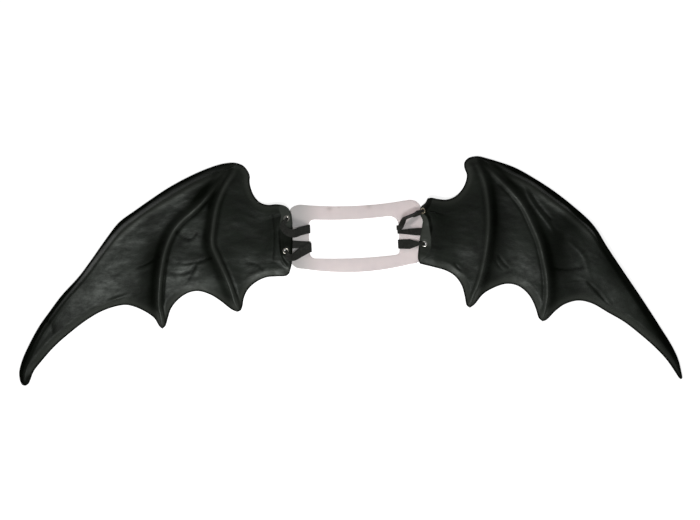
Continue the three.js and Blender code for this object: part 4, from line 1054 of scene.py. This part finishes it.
def ribbon_way(stations):
    """The band's middle, side and face directions, width and thickness at even lengths along it."""
    count = len(stations)
    acrosses = [stations[0]["across"]]
    for item in stations[1:] + stations[:1]:
        acrosses.append(item["across"] * (-1 if item["across"].dot(acrosses[-1]) < 0 else 1))
    acrosses = np.array(acrosses)
    steps = np.linspace(0, 1, count * RIBBON_TRACE + 1)
    middle, _ = curve_at([item["place"] for item in stations], steps, closed=True)
    place = np.arange(len(steps)) / RIBBON_TRACE
    number = np.arange(count + 1)
    looped = stations + stations[:1]
    width = np.interp(place, number, [item["width"] for item in looped])
    thick = np.interp(place, number, [item["thick"] for item in looped])
    across = np.stack([np.interp(place, number, acrosses[:, k]) for k in range(3)], axis=-1)
    lengths = np.r_[0, np.cumsum(np.linalg.norm(np.diff(middle, axis=0), axis=1))]
    rows = round(lengths[-1] / RIB_PITCH) * ROWS_PER_RIB
    at = np.linspace(0, lengths[-1], rows + 1)[:-1]
    width, thick = np.interp(at, lengths, width), np.interp(at, lengths, thick)
    middle, across = (np.stack([np.interp(at, lengths, values[:, k]) for k in range(3)], axis=-1)
                      for values in (middle, across))
    ahead = np.roll(middle, -1, axis=0) - np.roll(middle, 1, axis=0)
    across = across - ahead * (across * ahead).sum(1, keepdims=True) / (ahead**2).sum(1, keepdims=True)
    across /= np.linalg.norm(across, axis=1, keepdims=True)
    face = np.cross(ahead, across)
    face /= np.linalg.norm(face, axis=1, keepdims=True)
    return {"middle": middle, "across": across, "face": face, "width": width, "thick": thick,
            "flips": acrosses[-1].dot(acrosses[0]) < 0, "length": lengths[-1]}


def band_faces(rows, around, flips):
    """Faces of a closed band. Where it comes back upside down, its last row meets the first turned over."""
    row, after = np.arange(rows)[:, None], (np.arange(rows)[:, None] + 1) % rows
    slip = np.where((after == 0) & flips, around // 2, 0)
    k = np.arange(around)
    corners = [row * around + k, row * around + (k + 1) % around,
               after * around + (k + 1 + slip) % around, after * around + (k + slip) % around]
    return np.stack(corners, axis=-1).reshape(-1, 4)


def build_ribbon(name, stations, origin, weave, material):
    """A band folded where it is bunched, with a rib of thread across it at every pitch."""
    way = ribbon_way(stations)
    rows = len(way["middle"])
    u = np.linspace(-1, 1, ACROSS_STEPS + 1)
    half = way["width"][:, None] / 2
    fold = np.maximum(way["thick"] - RIBBON["thick"], 0)[:, None] / 2
    offset = fold * np.sin(math.pi * PLEATS * u)[None]
    sheet = way["middle"][:, None] + way["across"][:, None] * (half * u)[..., None]
    sheet = sheet + way["face"][:, None] * offset[..., None]
    lift = way["face"][:, None] * RIBBON_SHEET / 2
    sections = np.concatenate([sheet + lift, (sheet - lift)[:, ::-1]], axis=1)
    around = sections.shape[1]
    faces = band_faces(rows, around, way["flips"])
    core = sections.reshape(-1, 3)
    wide = u.size
    rib_rows = np.arange(0, rows, ROWS_PER_RIB)
    ribs = sheet[rib_rows].reshape(-1, 3)
    rib_edges = [(len(core) + r * wide + j, len(core) + r * wide + j + 1)
                 for r in range(len(rib_rows)) for j in range(wide - 1)]
    start = len(core) + len(ribs)
    edges = np.concatenate([sheet[:, 0], sheet[:, -1]])
    selvedges = []
    for side in (0, 1):
        for r in range(rows):
            other = side if r + 1 < rows or not way["flips"] else 1 - side
            selvedges.append((start + side * rows + r, start + other * rows + (r + 1) % rows))
    vertices = np.vstack([core, ribs, edges]) + origin
    mesh = bpy.data.meshes.new(name)
    mesh.from_pydata((vertices * MM).tolist(), rib_edges + selvedges, faces.tolist())
    mesh.update()
    piece = bpy.data.objects.new(name, mesh)
    bpy.context.scene.collection.objects.link(piece)
    part = np.r_[np.zeros(len(core)), np.ones(len(ribs)), np.full(len(edges), 2)]
    add_attribute(piece, "thread", part)
    along = np.arange(rows) / rows * way["length"]
    section_u = np.r_[u, u[::-1]]
    core_v, core_u = np.repeat(along, around), (half * section_u).reshape(-1)
    rib_v, rib_u = np.repeat(along[rib_rows], wide), (half[rib_rows] * u).reshape(-1)
    edge_v, edge_u = np.tile(along, 2), np.concatenate([-half[:, 0], half[:, 0]])
    add_attribute(piece, "weave_along", np.r_[core_v, rib_v, edge_v])
    add_attribute(piece, "weave_across", np.r_[core_u, rib_u, edge_u])
    modifier = piece.modifiers.new("ribbed weave", "NODES")
    modifier.node_group = weave
    values = {"Rib radius": RIB_THREAD * MM, "Selvedge radius": SELVEDGE_THREAD * MM, "Sides": THREAD_SIDES,
              "Material": material}
    for item in weave.interface.items_tree:
        if item.item_type == "SOCKET" and item.in_out == "INPUT" and item.name in values:
            modifier[item.identifier] = values[item.name]
    apply_modifiers(piece)
    return piece


def ribbed_weave():
    """A node tree that turns a band's thread lines into threads lying across it and along its edges."""
    tree = bpy.data.node_groups.new("ribbed weave", "GeometryNodeTree")
    tree.is_modifier = True
    kinds = {"Geometry": "Geometry", "Rib radius": "Float", "Selvedge radius": "Float", "Sides": "Int",
             "Material": "Material"}
    for name, kind in kinds.items():
        tree.interface.new_socket(name, in_out="INPUT", socket_type=f"NodeSocket{kind}")
    tree.interface.new_socket("Geometry", in_out="OUTPUT", socket_type="NodeSocketGeometry")
    given = add_node(tree, "NodeGroupInput").outputs
    named = add_node(tree, "GeometryNodeInputNamedAttribute", {"Name": "thread"}, data_type="FLOAT")
    thread = named.outputs["Attribute"]
    join = add_node(tree, "GeometryNodeJoinGeometry")
    for kind, radius in ((1.0, "Rib radius"), (2.0, "Selvedge radius")):
        chosen = add_node(tree, "FunctionNodeCompare", {"A": thread, "B": kind, "Epsilon": 0.1},
                          data_type="FLOAT", operation="EQUAL").outputs["Result"]
        lines = add_node(tree, "GeometryNodeMeshToCurve", {"Mesh": given["Geometry"], "Selection": chosen})
        ring = add_node(tree, "GeometryNodeCurvePrimitiveCircle",
                        {"Resolution": given["Sides"], "Radius": given[radius]})
        sweep = {"Curve": lines.outputs["Curve"], "Profile Curve": ring.outputs["Curve"], "Fill Caps": True}
        threads = add_node(tree, "GeometryNodeCurveToMesh", sweep)
        fill(tree, join.inputs["Geometry"], threads.outputs["Mesh"])
    any_thread = add_node(tree, "FunctionNodeCompare", {"A": thread, "B": 0.5}, data_type="FLOAT",
                          operation="GREATER_THAN").outputs["Result"]
    cloth = add_node(tree, "GeometryNodeDeleteGeometry",
                     {"Geometry": given["Geometry"], "Selection": any_thread}, domain="POINT")
    fill(tree, join.inputs["Geometry"], cloth.outputs["Geometry"])
    real = add_node(tree, "GeometryNodeRealizeInstances", {"Geometry": join.outputs["Geometry"]})
    soft = add_node(tree, "GeometryNodeSetShadeSmooth", {"Geometry": real.outputs["Geometry"]})
    dyed = add_node(tree, "GeometryNodeSetMaterial",
                    {"Geometry": soft.outputs["Geometry"], "Material": given["Material"]})
    add_node(tree, "NodeGroupOutput", {"Geometry": dyed.outputs["Geometry"]})
    return tree


# Materials

def linear(text):
    """A hex sRGB colour as the linear values that a shader takes."""
    values = [int(text[i:i + 2], 16) / 255 for i in (1, 3, 5)]
    return [v / 12.92 if v <= 0.04045 else ((v + 0.055) / 1.055) ** 2.4 for v in values] + [1.0]


def fill(tree, socket, value):
    """Links a socket to another node's output, or gives it a value of its own."""
    if isinstance(value, bpy.types.NodeSocket):
        tree.links.new(value, socket)
    else:
        socket.default_value = value


def add_node(tree, kind, inputs=None, **properties):
    """One node, with its own properties set and its sockets filled, by name or by number."""
    node = tree.nodes.new(kind)
    for name, value in properties.items():
        setattr(node, name, value)
    for name, value in (inputs or {}).items():
        fill(tree, node.inputs[name], value)
    return node


class Paint:
    """A material under construction: short ways to the few nodes that the finishes share."""

    def __init__(self, name):
        self.material = bpy.data.materials.new(name)
        self.material.use_nodes = True
        self.tree = self.material.node_tree
        self.shader = self.tree.nodes["Principled BSDF"]
        self.place = add_node(self.tree, "ShaderNodeTexCoord").outputs["Object"]

    def set(self, **values):
        for name, value in values.items():
            fill(self.tree, self.shader.inputs[name.replace("_", " ")], value)

    def attribute(self, name):
        return add_node(self.tree, "ShaderNodeAttribute", attribute_name=name).outputs["Fac"]

    def noise(self, size, detail=3.0, roughness=0.55, vector=None):
        """Noise whose features are about size millimetres across."""
        values = {"Vector": vector or self.place, "Scale": 1 / (size * MM), "Detail": detail,
                  "Roughness": roughness}
        return add_node(self.tree, "ShaderNodeTexNoise", values).outputs["Fac"]

    def span(self, value, low, high, out_low=0.0, out_high=1.0):
        values = {"Value": value, "From Min": low, "From Max": high, "To Min": out_low, "To Max": out_high}
        return add_node(self.tree, "ShaderNodeMapRange", values).outputs["Result"]

    def blend(self, share, a, b):
        """A mix of two colours, which are the node's inputs 6 and 7 and its output 2."""
        return add_node(self.tree, "ShaderNodeMix", {0: share, 6: a, 7: b}, data_type="RGBA").outputs[2]

    def math(self, operation, a, b=0.0):
        return add_node(self.tree, "ShaderNodeMath", {0: a, 1: b}, operation=operation).outputs[0]

    def bump(self, height, depth, normal=None):
        """Relief of depth millimetres over a height from 0 to 1."""
        values = {"Height": height, "Distance": depth * MM, "Strength": 1.0}
        if normal:
            values["Normal"] = normal
        return add_node(self.tree, "ShaderNodeBump", values).outputs["Normal"]


def pressed_foam():
    """Heat-pressed EVA foam: near-black, faintly green, satin on its slopes, mottled and finely grained,
    with painted highlight and wear on its crests and scallop rims, painted light and shade patches, painted
    light on its root flap, and painted shade, which also takes away its gloss, on steep slopes and edges."""
    paint = Paint("pressed_eva_foam")
    stretch = {"Vector": paint.place, "Scale": (0.55, 1, 1)}
    streaked = add_node(paint.tree, "ShaderNodeMapping", stretch).outputs[0]
    clouds = paint.noise(26, 3.0, 0.6, streaked)
    mottle = paint.noise(8, 4.0, 0.66, streaked)
    grain = paint.noise(1.3, 2.0, 0.6)
    shade = paint.math("ADD", paint.math("MULTIPLY", clouds, 0.5), paint.math("MULTIPLY", mottle, 0.5))
    wear_and_highlight, painted_shade = paint.attribute("wear_and_highlight"), paint.attribute("painted_shade")
    body = paint.blend(paint.span(shade, 0.36, 0.66), linear("#0a0b08"), linear("#1f251e"))
    # Painted light from the patches lightens the colour here
    painted_light = paint.math("MULTIPLY", paint.attribute("painted_light"), paint.span(shade, 0.34, 0.56))
    body = paint.blend(paint.math("MULTIPLY", painted_light, 0.6), body, linear("#3a403a"))
    # Painted highlight and wear lighten the colour here
    body = paint.blend(paint.math("MULTIPLY", wear_and_highlight, 0.5), body, linear("#4c4f49"))
    body = paint.blend(paint.span(grain, 0.3, 0.7, 0, 0.25), body, linear("#383d36"))
    # Painted shade darkens the colour here
    body = paint.blend(paint.math("MULTIPLY", painted_shade, 0.75), body, linear("#0b0d09"))
    # Painted light on the root flap lightens the colour here
    body = paint.blend(paint.attribute("tab"), body, linear("#4b4f49"))
    rough = paint.span(shade, 0.38, 0.62, 0.5, 0.36)
    # Painted light and highlight raise the gloss, and painted shade takes it away
    bright = paint.math("ADD", painted_light, paint.math("MULTIPLY", wear_and_highlight, 0.4))
    gloss = paint.span(bright, 0, 1, 0.26, 0.54)
    gloss = paint.math("MULTIPLY", gloss, paint.span(painted_shade, 0, 0.92, 1, 0))
    relief = paint.bump(grain, 0.08)
    relief = paint.bump(mottle, 0.25, relief)
    paint.set(Base_Color=body, Roughness=rough, Normal=relief, Specular_IOR_Level=gloss,
              Specular_Tint=linear("#f6fcf6"))
    return paint.material


def milky_vinyl():
    """Flexible translucent vinyl sheet: milky, faintly pink in the middle, cooler at its shaded ends."""
    paint = Paint("milky_vinyl_sheet")
    haze = paint.noise(22, 2.0)
    specks = paint.noise(2.2, 3.0)
    body = paint.blend(paint.span(haze, 0.3, 0.7), linear("#eee5e4"), linear("#e8e0e0"))
    body = paint.blend(paint.attribute("ends"), body, linear("#cfcdcc"))
    # Darker over each dent
    body = paint.blend(paint.math("MULTIPLY", paint.attribute("dent_darkening"), 0.3), body, linear("#7d7a7a"))
    rough = paint.span(specks, 0.3, 0.7, 0.3, 0.42)
    relief = paint.bump(haze, 0.25)
    paint.set(Base_Color=body, Roughness=rough, Normal=relief, Subsurface_Weight=1.0,
              Subsurface_Radius=(1.0, 1.0, 1.0), Subsurface_Scale=4 * MM, IOR=1.45)
    return paint.material


def nickel():
    """Nickel plate on drawn steel: bright with a little wear, and brass showing where it is tarnished."""
    paint = Paint("nickel_plated_steel")
    wear = paint.noise(0.9, 3.0)
    body = paint.blend(paint.span(wear, 0.3, 0.7), linear("#e9e7e0"), linear("#cfcdc4"))
    body = paint.blend(paint.attribute("tarnish"), body, linear("#b39a62"))
    paint.set(Base_Color=body, Metallic=1.0, Roughness=paint.span(wear, 0.3, 0.7, 0.2, 0.34))
    return paint.material


def ribbed_ribbon():
    """Black grosgrain ribbon: ribs of thread across it, with the fine warp that covers them."""
    paint = Paint("black_grosgrain_ribbon")
    across, along = paint.attribute("weave_across"), paint.attribute("weave_along")
    warp = paint.math("SINE", paint.math("MULTIPLY", across, 2 * math.pi / WARP_PITCH))
    slub = paint.noise(3.5, 2.0)
    body = paint.blend(paint.span(slub, 0.3, 0.7), linear("#1c1d1a"), linear("#33342f"))
    body = paint.blend(paint.span(warp, -1, 1, 0, 0.3), body, linear("#3c3d38"))
    fray = paint.math("SINE", paint.math("MULTIPLY", along, 2 * math.pi / WARP_PITCH / 2))
    relief = paint.bump(paint.span(warp, -1, 1), 0.05)
    relief = paint.bump(paint.span(fray, -1, 1), 0.02, relief)
    paint.set(Base_Color=body, Roughness=0.55, Normal=relief, Specular_IOR_Level=0.32,
              Sheen_Weight=0.05, Sheen_Roughness=0.35)
    return paint.material


def studio_floor():
    """Plain matt white paper."""
    paint = Paint("white_paper_floor")
    paint.set(Base_Color=linear("#f2f2f2"), Roughness=0.9, Specular_IOR_Level=0.1,
              Emission_Color=(1, 1, 1, 1), Emission_Strength=FLOOR_GLOW)
    return paint.material


# Room

def build_room():
    """The paper floor, the soft light, the even light from all round, and the camera."""
    corners = np.array([[-1, -1, 0], [1, -1, 0], [1, 1, 0], [-1, 1, 0]]) * FLOOR_HALF
    floor = mesh_object("floor", corners, [[0, 1, 2, 3]])
    floor.location.z = -FLOOR_CLEAR * MM
    floor.data.materials.append(studio_floor())
    look_at = Vector([VIEW_CENTRE[0] * MM, VIEW_CENTRE[1] * MM, 0])
    light = bpy.data.lights.new("key", "AREA")
    light.shape = "DISK"
    light.size = KEY_LIGHT["across"] * MM
    light.energy = KEY_LIGHT["power"]
    lamp = bpy.data.objects.new("key", light)
    lamp.location = [v * MM for v in KEY_LIGHT["place"]]
    lamp.rotation_euler = (look_at - lamp.location).to_track_quat("-Z", "Y").to_euler()
    bpy.context.scene.collection.objects.link(lamp)
    world = bpy.data.worlds.new("studio")
    world.use_nodes = True
    background = world.node_tree.nodes["Background"]
    background.inputs["Color"].default_value = (1, 1, 1, 1)
    background.inputs["Strength"].default_value = WORLD_STRENGTH
    bpy.context.scene.world = world
    bpy.context.scene.view_settings.view_transform = "Standard"
    data = bpy.data.cameras.new("camera")
    data.sensor_width = SENSOR
    data.lens = SENSOR * CAMERA_HEIGHT / VIEW_WIDTH
    data.clip_end = CLIP_END
    camera = bpy.data.objects.new("camera", data)
    camera.location = look_at + Vector([0, 0, CAMERA_HEIGHT * MM])
    bpy.context.scene.collection.objects.link(camera)
    bpy.context.scene.camera = camera


def finish_piece(piece, node, material=None):
    """Gives a piece its material, hangs it on the root body and hides its node. A ribbon's material comes
    from its weave.
    """
    if material:
        piece.data.materials.clear()
        piece.data.materials.append(material)
    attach(piece, "root")
    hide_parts(node)


def main():
    origin = place_origin()
    foam, vinyl, metal, woven = pressed_foam(), milky_vinyl(), nickel(), ribbed_ribbon()
    weave = ribbed_weave()
    finish_piece(build_plate(origin), "back_plate", vinyl)
    for side, wing in WINGS.items():
        lines = wing_lines(wing)
        seats = seats_of(wing, lines)
        finish_piece(build_wing(side, lines, seats, origin), f"{side}_wing", foam)
        for level, seat in seats.items():
            name = f"{side}_{level}"
            ring = build_eyelet(f"eyelet_ring_{name}", seat, origin, TARNISH[name])
            finish_piece(ring, f"eyelet_{name}", metal)
            stations = ribbon_stations(RIBBONS[name], side, lines, seat)
            band = build_ribbon(f"woven_ribbon_{name}", stations, origin, weave, woven)
            finish_piece(band, f"ribbon_{name}")
    build_room()


main()
